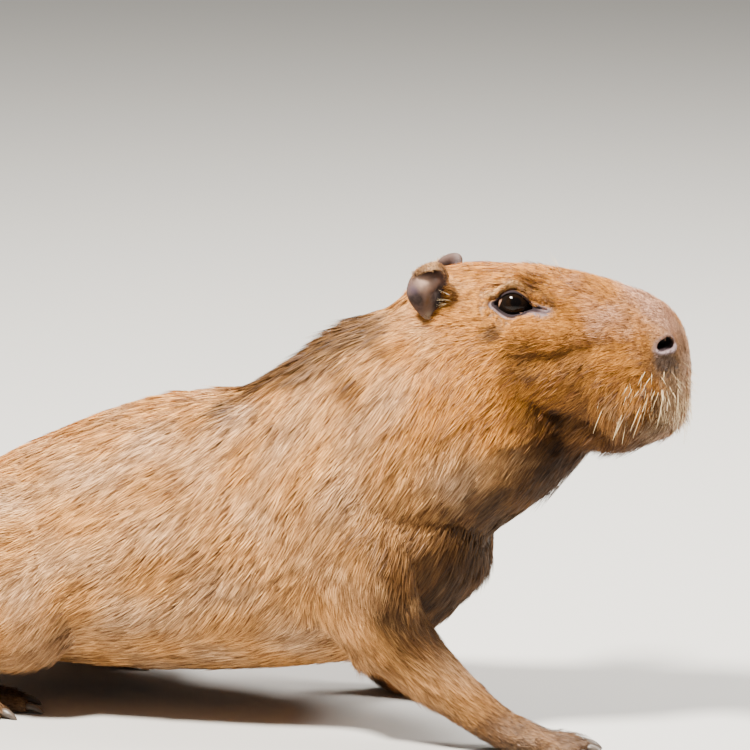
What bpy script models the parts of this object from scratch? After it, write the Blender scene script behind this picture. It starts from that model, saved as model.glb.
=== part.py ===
"""A life-size capybara in a low wading stance: head up, right forefoot reaching forward, hind legs folded.

Metres, +X towards the nose, +Y to the animal's left, +Z up. The animal is shaped straight and level
first, from lofts over a few named stations, then its neck is turned and it is set on the origin.
"""

import math
import random

import bmesh
import bpy
import numpy as np
from mathutils import Matrix, Vector
from mathutils.bvhtree import BVHTree

# Driving sizes
NOSE_X = 0.392              # nose tip, with the withers at x = 0
RUMP_X = -0.436             # back of the rump
HEAD_X = 0.106              # occiput, where the head's own x starts
HEAD_TURN = math.radians(8)  # the head looks a little to the animal's left
HEAD_ROLL = math.radians(7)  # and leans to that side
ROLL_AXIS = 0.355           # height of the line that it leans about
TURN_START = 0.0            # the neck starts to turn here
FLOOR = 0.0036              # the soles are cut flat here, a little way into the pads
GAP = 0.0003                # between neighbouring solids

VOXEL = 0.0028              # the fused flesh is remeshed this fine before it is thinned out
SMOOTH_ROUNDS = 12
HEAD_TRIANGLES = 3200
BODY_TRIANGLES = 4400

EYE_RADIUS = 0.0165
EYE_SEGMENTS, EYE_RINGS = 18, 10
EYE_PLACE = (0.118, 0.0345, 0.4275)    # x from the occiput, half spacing, height
LID_THICKNESS = 0.0028
LID_OPENING = (0.0188, 0.0100)         # half length and half height of the almond between the lids
NOSTRIL_BACK = (0.2530, 0.0450, 0.3868)
NOSTRIL_FRONT = (0.2760, 0.0330, 0.3968)
NOSTRIL_HALF = (0.0075, 0.0052)        # half depth and half height
EAR_PLACE = (0.0345, 0.0590, 0.4395)
EAR_SIZE = (0.0240, 0.0345)            # half breadth and half height of the cup
EAR_DEPTH = 0.0120
# From the middle of the cup to its rim: how far out it has come and how far forward it has bent, on the
# plain side of the cup and at its top, which is rolled over
EAR_SIDE = ((0.00, 0.42, 0.72, 0.90, 1.00), (0.00, 0.10, 0.35, 0.62, 0.88))
EAR_TOP = ((0.00, 0.50, 0.92, 1.04, 0.84), (0.00, 0.10, 0.42, 1.05, 1.62))
LEFT_EAR_SHIFT = (-0.0055, 0.0, -0.0040)  # the left ear is held a little further back and lower
EAR_THICKNESS = 0.0036

COAT_BROWN = (0.46, 0.29, 0.15, 1.0)
BARE_SKIN = (0.30, 0.22, 0.19, 1.0)
EYE_DARK = (0.02, 0.014, 0.010, 1.0)
CLAW_DARK = (0.10, 0.08, 0.07, 1.0)


def clear_scene():
    for obj in list(bpy.data.objects):
        bpy.data.objects.remove(obj)


def finish_of(name, colour, roughness):
    """A Principled material of one colour."""
    material = bpy.data.materials.new(name)
    material.use_nodes = True
    shader = material.node_tree.nodes["Principled BSDF"]
    shader.inputs["Base Color"].default_value = colour
    shader.inputs["Roughness"].default_value = roughness
    shader.inputs["Metallic"].default_value = 0.0
    return material


def add_object(name, mesh, collection):
    obj = bpy.data.objects.new(name, mesh)
    collection.objects.link(obj)
    return obj


def apply_modifiers(obj):
    """Replaces the object's mesh by its evaluated one and clears its modifiers."""
    graph = bpy.context.evaluated_depsgraph_get()
    mesh = bpy.data.meshes.new_from_object(obj.evaluated_get(graph))
    obj.modifiers.clear()
    obj.data = mesh
    return obj


def smooth_steps(stations, count):
    """Rows read at even steps along a smooth curve through the stations' rows (a Hermite spline
    with slopes that never overshoot the stations)."""
    rows = np.array(stations, float)
    at = np.arange(len(rows), dtype=float)
    rise = np.diff(rows, axis=0)
    slopes = np.zeros_like(rows)
    same = rise[1:] * rise[:-1] > 0
    mean = (rise[1:] + rise[:-1]) / 2
    limit = 3 * np.minimum(abs(rise[1:]), abs(rise[:-1]))
    slopes[1:-1] = np.where(same, np.sign(mean) * np.minimum(abs(mean), limit), 0)
    slopes[0] = rise[0]
    slopes[-1] = rise[-1]
    t = np.linspace(0, len(rows) - 1, count)
    i = np.minimum(t.astype(int), len(rows) - 2)
    u = (t - at[i])[:, None]
    a, b, ma, mb = rows[i], rows[i + 1], slopes[i], slopes[i + 1]
    return (
        (2 * u**3 - 3 * u**2 + 1) * a
        + (u**3 - 2 * u**2 + u) * ma
        + (3 * u**2 - 2 * u**3) * b
        + (u**3 - u**2) * mb
    )


def bridge(rings):
    """A closed mesh over rings of equally many points, each end closed by a fan round its middle."""
    mesh = bmesh.new()
    loops = [[mesh.verts.new(p) for p in ring] for ring in rings]
    for near, far in zip(loops, loops[1:]):
        for k, corner in enumerate(near):
            n = (k + 1) % len(near)
            mesh.faces.new((corner, near[n], far[n], far[k]))
    for loop in (loops[0], loops[-1]):
        middle = mesh.verts.new(sum((v.co for v in loop), Vector()) / len(loop))
        for k, corner in enumerate(loop):
            mesh.faces.new((corner, loop[(k + 1) % len(loop)], middle))
    bmesh.ops.recalc_face_normals(mesh, faces=mesh.faces)
    made = bpy.data.meshes.new("loft")
    mesh.to_mesh(made)
    mesh.free()
    return made


def upright_loft(stations, count=44, around=36):
    """A body over upright sections: x, top, bottom, height of the widest point, half width,
    narrowing towards the top and squareness of the section."""
    angles = np.linspace(0, 2 * math.pi, around, endpoint=False)
    cos, sin = np.cos(angles), np.sin(angles)
    rings = []
    for x, top, bottom, middle, half, narrow, square in smooth_steps(stations, count):
        power = 2 / square
        side = half * np.sign(cos) * abs(cos) ** power * (1 - narrow * np.maximum(sin, 0) ** 1.3)
        reach = np.where(sin > 0, top - middle, middle - bottom)
        lift = reach * np.sign(sin) * abs(sin) ** power
        rings.append(np.column_stack((np.full(around, x), side, middle + lift)))
    return bridge(rings)


def leaning_loft(stations, count=24, around=36):
    """A body over sections that lean back: x, z, lean in degrees, half width, half height."""
    angles = np.linspace(0, 2 * math.pi, around, endpoint=False)
    cos, sin = np.cos(angles), np.sin(angles)
    rings = []
    for x, z, lean, half, tall in smooth_steps(stations, count):
        back, up = math.sin(math.radians(lean)), math.cos(math.radians(lean))
        rings.append(np.column_stack((x - back * tall * sin, half * cos, z + up * tall * sin)))
    return bridge(rings)


def limb_loft(stations, count=26, around=24):
    """A limb along stations of x, y, z, radius in the limb's own plane and radius across it."""
    rows = smooth_steps(stations, count)
    angles = np.linspace(0, 2 * math.pi, around, endpoint=False)
    rings = []
    for k, (x, y, z, deep, wide) in enumerate(rows):
        before, after = rows[max(k - 1, 0)], rows[min(k + 1, len(rows) - 1)]
        along = Vector(after[:3] - before[:3]).normalized()
        across = Vector((0, 1, 0))
        across = (across - along * across.dot(along)).normalized()
        front = across.cross(along)
        rings.append([Vector((x, y, z)) + front * deep * math.sin(a) + across * wide * math.cos(a)
                      for a in angles])
    return bridge(rings)


def mound(place, radii):
    """A rounded swelling of flesh."""
    mesh = bmesh.new()
    bmesh.ops.create_uvsphere(mesh, u_segments=24, v_segments=16, radius=1)
    bmesh.ops.transform(mesh, verts=mesh.verts, matrix=Matrix.LocRotScale(place, None, radii))
    made = bpy.data.meshes.new("mound")
    mesh.to_mesh(made)
    mesh.free()
    return made


# Torso: x, top, bottom, height of the widest point, half width, narrowing, squareness
TORSO = (
    (RUMP_X, 0.138, 0.098, 0.118, 0.018, 0.0, 2.0),
    (-0.430, 0.158, 0.076, 0.118, 0.050, 0.0, 2.0),
    (-0.408, 0.182, 0.060, 0.120, 0.082, 0.0, 2.0),
    (-0.370, 0.212, 0.050, 0.124, 0.110, 0.0, 2.0),
    (-0.319, 0.242, 0.044, 0.132, 0.130, 0.0, 2.1),
    (-0.255, 0.275, 0.040, 0.142, 0.143, 0.05, 2.1),
    (-0.190, 0.303, 0.038, 0.150, 0.148, 0.08, 2.1),
    (-0.120, 0.321, 0.040, 0.158, 0.145, 0.10, 2.1),
    (-0.050, 0.329, 0.046, 0.165, 0.137, 0.14, 2.1),
    (0.020, 0.333, 0.055, 0.172, 0.127, 0.20, 2.1),
    (0.085, 0.328, 0.069, 0.178, 0.115, 0.25, 2.1),
    (0.140, 0.303, 0.097, 0.184, 0.096, 0.20, 2.0),
    (0.180, 0.264, 0.136, 0.192, 0.065, 0.10, 2.0),
    (0.198, 0.230, 0.166, 0.197, 0.028, 0.0, 2.0),
)

# Neck: x, z, lean, half width, half height
NECK = (
    (-0.020, 0.2120, 30, 0.108, 0.110),
    (0.0287, 0.2356, 35, 0.116, 0.122),
    (0.0848, 0.2660, 40, 0.110, 0.132),
    (0.1270, 0.3024, 41, 0.098, 0.128),
    (0.1680, 0.3278, 42, 0.088, 0.124),
    (0.1990, 0.3478, 43, 0.078, 0.115),
    (0.2260, 0.3570, 44, 0.064, 0.101),
)

# Head above the mouth, x from the occiput
HEAD = (
    (-0.020, 0.405, 0.350, 0.380, 0.030, 0.0, 2.0),
    (0.000, 0.432, 0.325, 0.382, 0.054, 0.15, 2.1),
    (0.030, 0.454, 0.312, 0.378, 0.066, 0.20, 2.2),
    (0.065, 0.4640, 0.307, 0.374, 0.072, 0.24, 2.3),
    (0.100, 0.4650, 0.309, 0.373, 0.073, 0.28, 2.4),
    (0.135, 0.4630, 0.313, 0.375, 0.070, 0.30, 2.5),
    (0.170, 0.4600, 0.315, 0.376, 0.064, 0.28, 2.6),
    (0.205, 0.4525, 0.312, 0.372, 0.059, 0.22, 2.6),
    (0.235, 0.4440, 0.303, 0.365, 0.056, 0.18, 2.6),
    (0.256, 0.4350, 0.300, 0.362, 0.053, 0.15, 2.6),
    (0.270, 0.4235, 0.304, 0.360, 0.047, 0.12, 2.5),
    (0.280, 0.4060, 0.314, 0.358, 0.037, 0.08, 2.4),
    (NOSE_X - HEAD_X, 0.3850, 0.336, 0.356, 0.018, 0.0, 2.1),
)

# Lower jaw, x from the occiput
JAW = (
    (0.040, 0.365, 0.281, 0.315, 0.044, 0.0, 2.0),
    (0.090, 0.357, 0.276, 0.313, 0.054, 0.0, 2.1),
    (0.140, 0.345, 0.280, 0.313, 0.050, 0.0, 2.2),
    (0.185, 0.335, 0.287, 0.311, 0.041, 0.0, 2.2),
    (0.220, 0.330, 0.291, 0.309, 0.035, 0.0, 2.2),
    (0.243, 0.325, 0.293, 0.308, 0.028, 0.0, 2.1),
    (0.257, 0.318, 0.299, 0.308, 0.016, 0.0, 2.0),
)

# Swellings of the head and trunk, on both sides: place and radii
JOWL = ((0.085, 0.038, 0.357), (0.060, 0.036, 0.056))
CHEEKBONE = ((0.130, 0.044, 0.402), (0.044, 0.024, 0.020))
BROW = ((0.112, 0.030, 0.4470), (0.032, 0.018, 0.0155))
LIP_PAD = ((0.238, 0.027, 0.337), (0.038, 0.032, 0.032))
EAR_ROOT = ((0.044, 0.038, 0.430), (0.026, 0.015, 0.024))
SHOULDER = ((0.035, 0.078, 0.208), (0.080, 0.050, 0.105))
ELBOW_RIGHT = ((0.112, -0.102, 0.104), (0.026, 0.026, 0.028))
ELBOW_LEFT = ((-0.004, 0.101, 0.102), (0.026, 0.027, 0.030))

# Pressed into the flesh or raised on it, on both sides: place, reach along x, y and z, height
PRESSED = (
    ((0.120, 0.052, 0.428), (0.030, 0.030, 0.020), -0.0030),   # eye socket
    ((0.152, 0.056, 0.398), (0.034, 0.030, 0.013), 0.0040),    # cheekbone's lower edge
    ((0.180, 0.060, 0.412), (0.040, 0.030, 0.016), -0.0025),   # hollow in front of the eye
    ((0.236, 0.050, 0.350), (0.034, 0.030, 0.030), 0.0045),    # upper lip
    ((0.262, 0.042, 0.402), (0.018, 0.022, 0.012), 0.0025),    # wing of the nostril
    ((0.120, 0.060, 0.330), (0.034, 0.030, 0.018), -0.0040),   # behind the corner of the mouth
)

# Lines pressed into the flesh, on both sides: points, half width, depth
CHEEK_FOLD = (((0.120, 0.068, 0.384), (0.140, 0.070, 0.375), (0.165, 0.066, 0.383), (0.209, 0.060, 0.390),
               (0.240, 0.056, 0.386)), 0.0085, 0.0040)
MOUTH = (((0.288, 0.000, 0.316), (0.276, 0.018, 0.309), (0.256, 0.034, 0.308), (0.228, 0.044, 0.314),
          (0.198, 0.050, 0.324)), 0.0034, 0.0050)
LIP_CLEFT = (((0.292, 0.000, 0.380), (0.292, 0.000, 0.345), (0.288, 0.000, 0.316)), 0.0030, 0.0025)
TEAR_CREASE = (((0.136, 0.054, 0.4262), (0.150, 0.055, 0.4220)), 0.0030, 0.0018)
CREASES = (CHEEK_FOLD, MOUTH, LIP_CLEFT, TEAR_CREASE)

# Legs: x, y, z, radius in the leg's plane, radius across it. Right legs; a left leg's y is mirrored.
FRONT_REACHING = (
    (0.048, -0.074, 0.215, 0.064, 0.040),
    (0.088, -0.090, 0.165, 0.058, 0.041),
    (0.126, -0.099, 0.118, 0.042, 0.035),
    (0.170, -0.099, 0.080, 0.0300, 0.0280),
    (0.210, -0.097, 0.049, 0.0225, 0.0230),
    (0.240, -0.094, 0.028, 0.0185, 0.0235),
    (0.270, -0.093, 0.0165, 0.0165, 0.0270),
    (0.296, -0.093, 0.0120, 0.0110, 0.0255),
    (0.307, -0.093, 0.0100, 0.0060, 0.0180),
)
FRONT_STANDING = (
    (0.040, 0.072, 0.215, 0.062, 0.040),
    (0.026, 0.090, 0.160, 0.058, 0.042),
    (0.012, 0.099, 0.114, 0.043, 0.036),
    (0.026, 0.098, 0.078, 0.0300, 0.0280),
    (0.044, 0.096, 0.048, 0.0235, 0.0235),
    (0.060, 0.095, 0.0260, 0.0195, 0.0240),
    (0.086, 0.094, 0.0160, 0.0165, 0.0270),
    (0.111, 0.094, 0.0120, 0.0110, 0.0255),
    (0.122, 0.094, 0.0100, 0.0060, 0.0180),
)
HIND_RIGHT = (
    (-0.330, -0.066, 0.178, 0.078, 0.050),
    (-0.285, -0.096, 0.152, 0.080, 0.052),
    (-0.238, -0.118, 0.118, 0.058, 0.044),
    (-0.262, -0.124, 0.092, 0.044, 0.036),
    (-0.318, -0.122, 0.086, 0.031, 0.028),
    (-0.362, -0.118, 0.078, 0.0230, 0.0230),
    (-0.374, -0.117, 0.062, 0.0215, 0.0220),
    (-0.352, -0.117, 0.038, 0.0185, 0.0225),
    (-0.325, -0.117, 0.0190, 0.0165, 0.0260),
    (-0.298, -0.117, 0.0125, 0.0115, 0.0255),
    (-0.286, -0.117, 0.0100, 0.0060, 0.0180),
)
HIND_LEFT_SHIFT = 0.050     # the left hind leg is a little further forward

TAIL = (
    (-0.412, 0, 0.1600, 0.0160, 0.0180),
    (-0.430, 0, 0.1520, 0.0130, 0.0150),
    (-0.442, 0, 0.1410, 0.0085, 0.0100),
    (-0.447, 0, 0.1330, 0.0040, 0.0050),
)

# Where the head leaves the neck and the neck the torso: a point of each cut and the way ahead of it
HEAD_CUT = (0.122, 0.0, 0.385)
HEAD_CUT_WAY = (0.80, 0.0, 0.60)
NECK_CUT = (0.040, 0.0, 0.285)
NECK_CUT_WAY = (0.86, 0.0, 0.51)
CUT_ROOM = 0.012            # head and body overlap so far until both are thinned out
TAIL_BLOCK = ((-0.500, -0.030, 0.1200), (-0.4330, 0.030, 0.1750))

# The slanting block that parts each leg off: a point of its upper cut, the leg's way down from it
# in x and z, and how far it reaches behind that line, before it and along it
LEG_CUTS = {
    "front_right": ((0.088, 0.178), (0.70, -0.71), 0.064, 0.080, 0.360),
    "front_left": ((0.030, 0.166), (0.05, -1.00), 0.062, 0.120, 0.250),
    "hind_right": ((-0.318, 0.182), (0.785, -0.62), 0.180, 0.082, 0.176),
    "hind_left": ((-0.318 + HIND_LEFT_SHIFT, 0.182), (0.785, -0.62), 0.180, 0.082, 0.176),
}
LEG_INNER_CUT = 0.064       # and the upright plane between a leg and the belly

# Locks of the coarse coat. Each row: x and height of the line that its roots are seen from, how many
# locks lie on each side, and the angle from straight up to the lowest of them
LOCK_ROWS = (
    (0.078, 0.330, 2, 58),
    (0.022, 0.285, 3, 80),
    (-0.024, 0.215, 3, 78),
    (-0.080, 0.200, 3, 84),
    (-0.138, 0.190, 3, 78),
    (-0.196, 0.175, 3, 84),
    (-0.254, 0.160, 3, 76),
    (-0.312, 0.150, 2, 62),
)
LOCK_LENGTH = 0.086
LOCK_HALF_WIDTH = 0.0145
# A lock's outline from root to tip: share of its length, share of its half width, and the heights of
# its edges and of its ridge over the flesh
LOCK_OUTLINE = (
    (0.00, 0.45, -0.0035, -0.0010),
    (0.25, 1.00, -0.0014, 0.0036),
    (0.62, 0.74, -0.0012, 0.0034),
    (1.00, 0.04, -0.0004, 0.0018),
)
LOCK_SEED = 7

# Toes: where the foot's front edge is, how many, their fan, length and radius
TOE_FANS = {
    "front_right": {"ball": (0.292, -0.093), "count": 4, "spread": 36, "length": 0.050},
    "front_left": {"ball": (0.107, 0.094), "count": 4, "spread": 34, "length": 0.048},
    "hind_right": {"ball": (-0.303, -0.117), "count": 3, "spread": 26, "length": 0.058},
    "hind_left": {"ball": (-0.303 + HIND_LEFT_SHIFT, 0.117), "count": 3, "spread": 26, "length": 0.058},
}
LEGS = {
    "front_right": FRONT_REACHING,
    "front_left": FRONT_STANDING,
    "hind_right": HIND_RIGHT,
    "hind_left": [(x + HIND_LEFT_SHIFT, -y, z, deep, wide) for x, y, z, deep, wide in HIND_RIGHT],
}
BALL_HALF_WIDTH = 0.0190
TOE_RADIUS = 0.0088
CLAW_LENGTH = 0.0190
CLAW_RADIUS = 0.0060
CLAW_SUNK = 0.0060


def turned(points):
    """Rolls and turns the neck: points ahead of the occiput take the whole of both, those before it less."""
    points = np.array(points, float)
    share = np.clip((points[:, 0] - TURN_START) / (HEAD_X + 0.03 - TURN_START), 0, 1)
    share = share * share * (3 - 2 * share)
    raised = np.clip((points[:, 2] - 0.10) / 0.12, 0, 1)
    share = share * raised * raised * (3 - 2 * raised)
    roll = HEAD_ROLL * share
    up, side = points[:, 2] - ROLL_AXIS, points[:, 1].copy()
    points[:, 1] = side * np.cos(roll) + up * np.sin(roll)
    points[:, 2] = ROLL_AXIS + up * np.cos(roll) - side * np.sin(roll)
    angle = HEAD_TURN * share
    ahead, side = points[:, 0] - TURN_START, points[:, 1].copy()
    points[:, 0] = TURN_START + ahead * np.cos(angle) - side * np.sin(angle)
    points[:, 1] = ahead * np.sin(angle) + side * np.cos(angle)
    return points


def head_turn():
    """The turn and roll that the whole head has, for directions and features."""
    return Matrix.Rotation(HEAD_TURN, 4, "Z") @ Matrix.Rotation(-HEAD_ROLL, 4, "X")


def points_of(mesh):
    flat = np.empty(len(mesh.vertices) * 3)
    mesh.vertices.foreach_get("co", flat)
    return flat.reshape(-1, 3)


def set_points(mesh, points):
    mesh.vertices.foreach_set("co", points.ravel())
    mesh.update()


def both_sides(place, radii, dx=0.0):
    """A mound on the right and its mirror image on the left."""
    x, y, z = place
    return [mound((x + dx, side * y, z), radii) for side in (-1, 1)]


def shifted_x(stations, dx):
    return [(row[0] + dx, *row[1:]) for row in stations]


def distance_to_line(points, line):
    """Each point's distance to a line of straight pieces."""
    nearest = np.full(len(points), np.inf)
    for start, end in zip(line, line[1:]):
        along = end - start
        share = np.clip((points - start) @ along / (along @ along), 0, 1)
        gap = np.linalg.norm(points - start - share[:, None] * along, axis=1)
        nearest = np.minimum(nearest, gap)
    return nearest


def press(mesh):
    """Moves the surface along its normals by the head's hollows, swellings and creases."""
    points = points_of(mesh)
    flat = np.empty(len(points) * 3)
    mesh.vertex_normals.foreach_get("vector", flat)
    normals = flat.reshape(-1, 3)
    lift = np.zeros(len(points))
    for side in (-1, 1):
        mirror = np.array((1, side, 1))
        onto_head = np.array((HEAD_X, 0, 0))
        for place, reach, height in PRESSED:
            away = (points - np.array(place) * mirror - onto_head) / np.array(reach)
            lift += height * np.exp(-(away**2).sum(1))
        for line, half_width, depth in CREASES:
            spots = np.array(line) * mirror + onto_head
            share = 0.5 if abs(spots[:, 1]).max() == 0 else 1.0
            lift -= share * depth * np.exp(-((distance_to_line(points, spots) / half_width) ** 2))
    set_points(mesh, points + normals * lift[:, None])


def toe_lines(fan):
    """Each toe's root, unit direction and length, fanned evenly round the foot's own line."""
    middle = (fan["count"] - 1) / 2
    for k in range(fan["count"]):
        share = (k - middle) / middle
        angle = math.radians(fan["spread"] / 2) * share
        out = Vector((math.cos(angle), math.sin(angle), 0))
        root = Vector((fan["ball"][0] - 0.006 * abs(share), fan["ball"][1] + BALL_HALF_WIDTH * share, 0))
        yield root, out, fan["length"] * (1 - 0.14 * abs(share))


def toe(root, out, length):
    """One toe: knuckled, lower towards its tip."""
    stations = []
    for share, height, size in ((-0.30, 0.011, 0.9), (0.15, 0.0125, 1.0), (0.50, 0.0115, 1.06),
                                (0.82, 0.0090, 0.98), (0.97, 0.0080, 0.70), (1.02, 0.0078, 0.35)):
        spot = root + out * length * share
        stations.append((spot.x, spot.y, height, TOE_RADIUS * size, TOE_RADIUS * size))
    return limb_loft(stations, 12, 14)


def web(fan):
    """The short web of skin between the toes."""
    x, y = fan["ball"]
    return mound((x + 0.010, y, 0.0085), (0.026, BALL_HALF_WIDTH + 0.004, 0.0045))


def flesh_parts():
    """Every overlapping form of the body's flesh, straight and level."""
    parts = [
        upright_loft(TORSO),
        leaning_loft(NECK),
        upright_loft(shifted_x(HEAD, HEAD_X)),
        upright_loft(shifted_x(JAW, HEAD_X)),
        limb_loft(TAIL, 10, 16),
    ]
    parts += [limb_loft(stations, 34) for stations in LEGS.values()]
    for place, radii in (JOWL, CHEEKBONE, BROW, LIP_PAD, EAR_ROOT):
        parts += both_sides(place, radii, HEAD_X)
    parts += both_sides(*SHOULDER)
    parts += [mound(*ELBOW_RIGHT), mound(*ELBOW_LEFT)]
    for fan in TOE_FANS.values():
        parts += [toe(*line) for line in toe_lines(fan)]
        parts.append(web(fan))
    return parts


def fused(parts, collection):
    """One smooth skin round all the forms: a voxel remesh, a light smoothing, then the head's creases."""
    joined = bmesh.new()
    for mesh in parts:
        joined.from_mesh(mesh)
        bpy.data.meshes.remove(mesh)
    mesh = bpy.data.meshes.new("flesh")
    joined.to_mesh(mesh)
    joined.free()
    flesh = add_object("flesh", mesh, collection)
    remesh = flesh.modifiers.new("skin", "REMESH")
    remesh.mode = "VOXEL"
    remesh.voxel_size = VOXEL
    smooth = flesh.modifiers.new("soften", "SMOOTH")
    smooth.factor = 0.5
    smooth.iterations = SMOOTH_ROUNDS
    apply_modifiers(flesh)
    press(flesh.data)
    set_points(flesh.data, turned(points_of(flesh.data)))
    return flesh


def copy_of(obj, name, collection):
    return add_object(name, obj.data.copy(), collection)


def keep_side(obj, point, normal, clearance):
    """Cuts the mesh by a plane, keeps the side that the normal points to, and closes the cut."""
    mesh = bmesh.new()
    mesh.from_mesh(obj.data)
    spot = Vector(point) + Vector(normal) * clearance
    everything = list(mesh.verts) + list(mesh.edges) + list(mesh.faces)
    cut = bmesh.ops.bisect_plane(mesh, geom=everything, plane_co=spot, plane_no=normal,
                                 clear_inner=True, dist=1e-7)
    rim = [e for e in cut["geom_cut"] if isinstance(e, bmesh.types.BMEdge)]
    bmesh.ops.holes_fill(mesh, edges=rim)
    bmesh.ops.triangulate(mesh, faces=[f for f in mesh.faces if len(f.verts) > 4])
    mesh.to_mesh(obj.data)
    mesh.free()
    return obj


def thin_out(obj, triangles):
    """Collapses the mesh to about so many triangles."""
    obj.data.calc_loop_triangles()
    collapse = obj.modifiers.new("thin", "DECIMATE")
    collapse.ratio = triangles / len(obj.data.loop_triangles)
    return apply_modifiers(obj)


def lie_of_coat(spot):
    """Which way the coat lies at a place: down the neck, slanting down the flank, back over the rump."""
    share = min(1.0, max(0.0, (spot.x + 0.36) / 0.40))
    slant = math.radians(12 + 48 * share)
    spread = 0.30 * math.copysign(min(1.0, abs(spot.y) / 0.05), spot.y)
    return Vector((-math.cos(slant), spread, -math.sin(slant)))


def lock(skin, root, turn, length, half_width, collection):
    """One flat, tapered, ridged lock that bends with the flesh under it, its root and edges sunk in."""
    rings = []
    spot, walked = root, 0.0
    for share, width, edge, ridge in LOCK_OUTLINE:
        step = length * share - walked
        walked = length * share
        here, normal, _, _ = skin.find_nearest(spot)
        way = Matrix.Rotation(turn * (1 - share), 3, normal) @ lie_of_coat(here)
        way = (way - normal * way.dot(normal)).normalized()
        here, normal, _, _ = skin.find_nearest(here + way * step)
        across = normal.cross(way).normalized() * half_width * width
        left, left_normal, _, _ = skin.find_nearest(here + across)
        right, right_normal, _, _ = skin.find_nearest(here - across)
        rings.append([left + left_normal * edge, here + normal * ridge, right + right_normal * edge])
        spot = here
    return add_object("lock", bridge(rings), collection)


def add_locks(body):
    """Sets rows of overlapping locks on the neck, back and flanks and fuses them with the flesh."""
    skin = BVHTree.FromObject(body, bpy.context.evaluated_depsgraph_get())
    draw = random.Random(LOCK_SEED)
    locks = bpy.data.collections.new("locks")
    bpy.context.scene.collection.children.link(locks)
    for k, (x, height, count, lowest) in enumerate(LOCK_ROWS):
        for n in range(-count, count + 1):
            if k % 2 and n == 0:
                continue
            share = (n - (0.5 * math.copysign(1, n) if k % 2 else 0)) / count
            angle = math.radians(lowest * share + draw.uniform(-3, 3))
            start = Vector((x + draw.uniform(-0.006, 0.006), 0, height))
            root = skin.ray_cast(start, Vector((0, math.sin(angle), math.cos(angle))))[0]
            lock(skin, root, math.radians(draw.uniform(-14, 14)), LOCK_LENGTH * draw.uniform(0.85, 1.12),
                 LOCK_HALF_WIDTH * draw.uniform(0.8, 1.2), locks)
    union = body.modifiers.new("locks", "BOOLEAN")
    union.operation = "UNION"
    union.solver = "MANIFOLD"
    union.operand_type = "COLLECTION"
    union.collection = locks
    apply_modifiers(body)
    for obj in list(locks.objects):
        bpy.data.objects.remove(obj)
    bpy.data.collections.remove(locks)
    largest_piece(body)


def boolean(obj, other, operation, solver="EXACT"):
    """Applies one Boolean and removes the other object."""
    step = obj.modifiers.new(operation.lower(), "BOOLEAN")
    step.operation = operation
    step.solver = solver
    step.object = other
    apply_modifiers(obj)
    bpy.data.objects.remove(other)
    return obj


def largest_piece(obj):
    """Keeps the largest closed surface of the mesh."""
    mesh = bmesh.new()
    mesh.from_mesh(obj.data)
    left, pieces = set(mesh.verts), []
    while left:
        stack, piece = [left.pop()], []
        while stack:
            vertex = stack.pop()
            piece.append(vertex)
            for edge in vertex.link_edges:
                other = edge.other_vert(vertex)
                if other in left:
                    left.remove(other)
                    stack.append(other)
        pieces.append(piece)
    pieces.sort(key=len)
    for piece in pieces[:-1]:
        bmesh.ops.delete(mesh, geom=piece, context="VERTS")
    mesh.to_mesh(obj.data)
    mesh.free()
    return obj


def block(low, high, collection):
    """A box cutter between two corners."""
    mesh = bmesh.new()
    bmesh.ops.create_cube(mesh, size=1)
    low, high = Vector(low), Vector(high)
    place = Matrix.Translation((low + high) / 2) @ Matrix.Diagonal((*(high - low), 1))
    bmesh.ops.transform(mesh, verts=mesh.verts, matrix=place)
    made = bpy.data.meshes.new("block")
    mesh.to_mesh(made)
    mesh.free()
    return add_object("block", made, collection)


def half_space(point, way, margin, collection):
    """A large block whose one face, the margin past the point, looks back against the way."""
    way = Vector(way).normalized()
    side = Vector((0, 1, 0))
    up = way.cross(side)
    rings = []
    for along in (-margin, 1.0):
        corners = ((-1, -1), (1, -1), (1, 1), (-1, 1))
        rings.append([Vector(point) + way * along + side * a + up * b for a, b in corners])
    return add_object("half_space", bridge(rings), collection)


def leg_block(leg, margin, collection):
    """The slanting cutter that holds one leg."""
    (x, z), way, behind, before, length = LEG_CUTS[leg]
    down = Vector((way[0], 0, way[1])).normalized()
    front = Vector((-down.z, 0, down.x))
    side = 1 if leg.endswith("left") else -1
    start = Vector((x, 0, z))
    rings = []
    for y in (LEG_INNER_CUT - margin, 0.30):
        corners = ((-margin, -behind - margin), (length + margin, -behind - margin),
                   (length + margin, before + margin), (-margin, before + margin))
        rings.append([start + down * along + front * across + Vector((0, side * y, 0))
                      for along, across in corners])
    return add_object("leg_block", bridge(rings), collection)


def take_off(body, name, cutter, wider_cutter, collection):
    """Parts a named piece off the body inside a cutter; the wider cutter leaves the gap between them."""
    piece = copy_of(body, name, collection)
    boolean(piece, cutter, "INTERSECT", "MANIFOLD")
    boolean(body, wider_cutter, "DIFFERENCE", "MANIFOLD")
    largest_piece(body)
    return largest_piece(piece)


def head_point(place, side):
    """A head feature's place after the turn, from x past the occiput, half spacing and height."""
    x, y, z = place
    return Vector(turned([(HEAD_X + x, side * y, z)])[0])


def ball(centre, radius, segments, rings, collection, name="ball"):
    mesh = bmesh.new()
    bmesh.ops.create_uvsphere(mesh, u_segments=segments, v_segments=rings, radius=radius)
    bmesh.ops.transform(mesh, verts=mesh.verts, matrix=Matrix.Translation(centre))
    made = bpy.data.meshes.new(name)
    mesh.to_mesh(made)
    mesh.free()
    return add_object(name, made, collection)


def eye_frame(side):
    """The eye's centre and axes: forward along the lids, outward through the pupil, and up."""
    outward = Vector((0.20, side * 0.93, 0.20)).normalized()
    forward = Vector((0.99, 0, -0.09))
    forward = (forward - outward * forward.dot(outward)).normalized()
    up = outward.cross(forward) * side
    turn = head_turn().to_3x3()
    return head_point(EYE_PLACE, side), turn @ forward, turn @ outward, turn @ up


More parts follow.
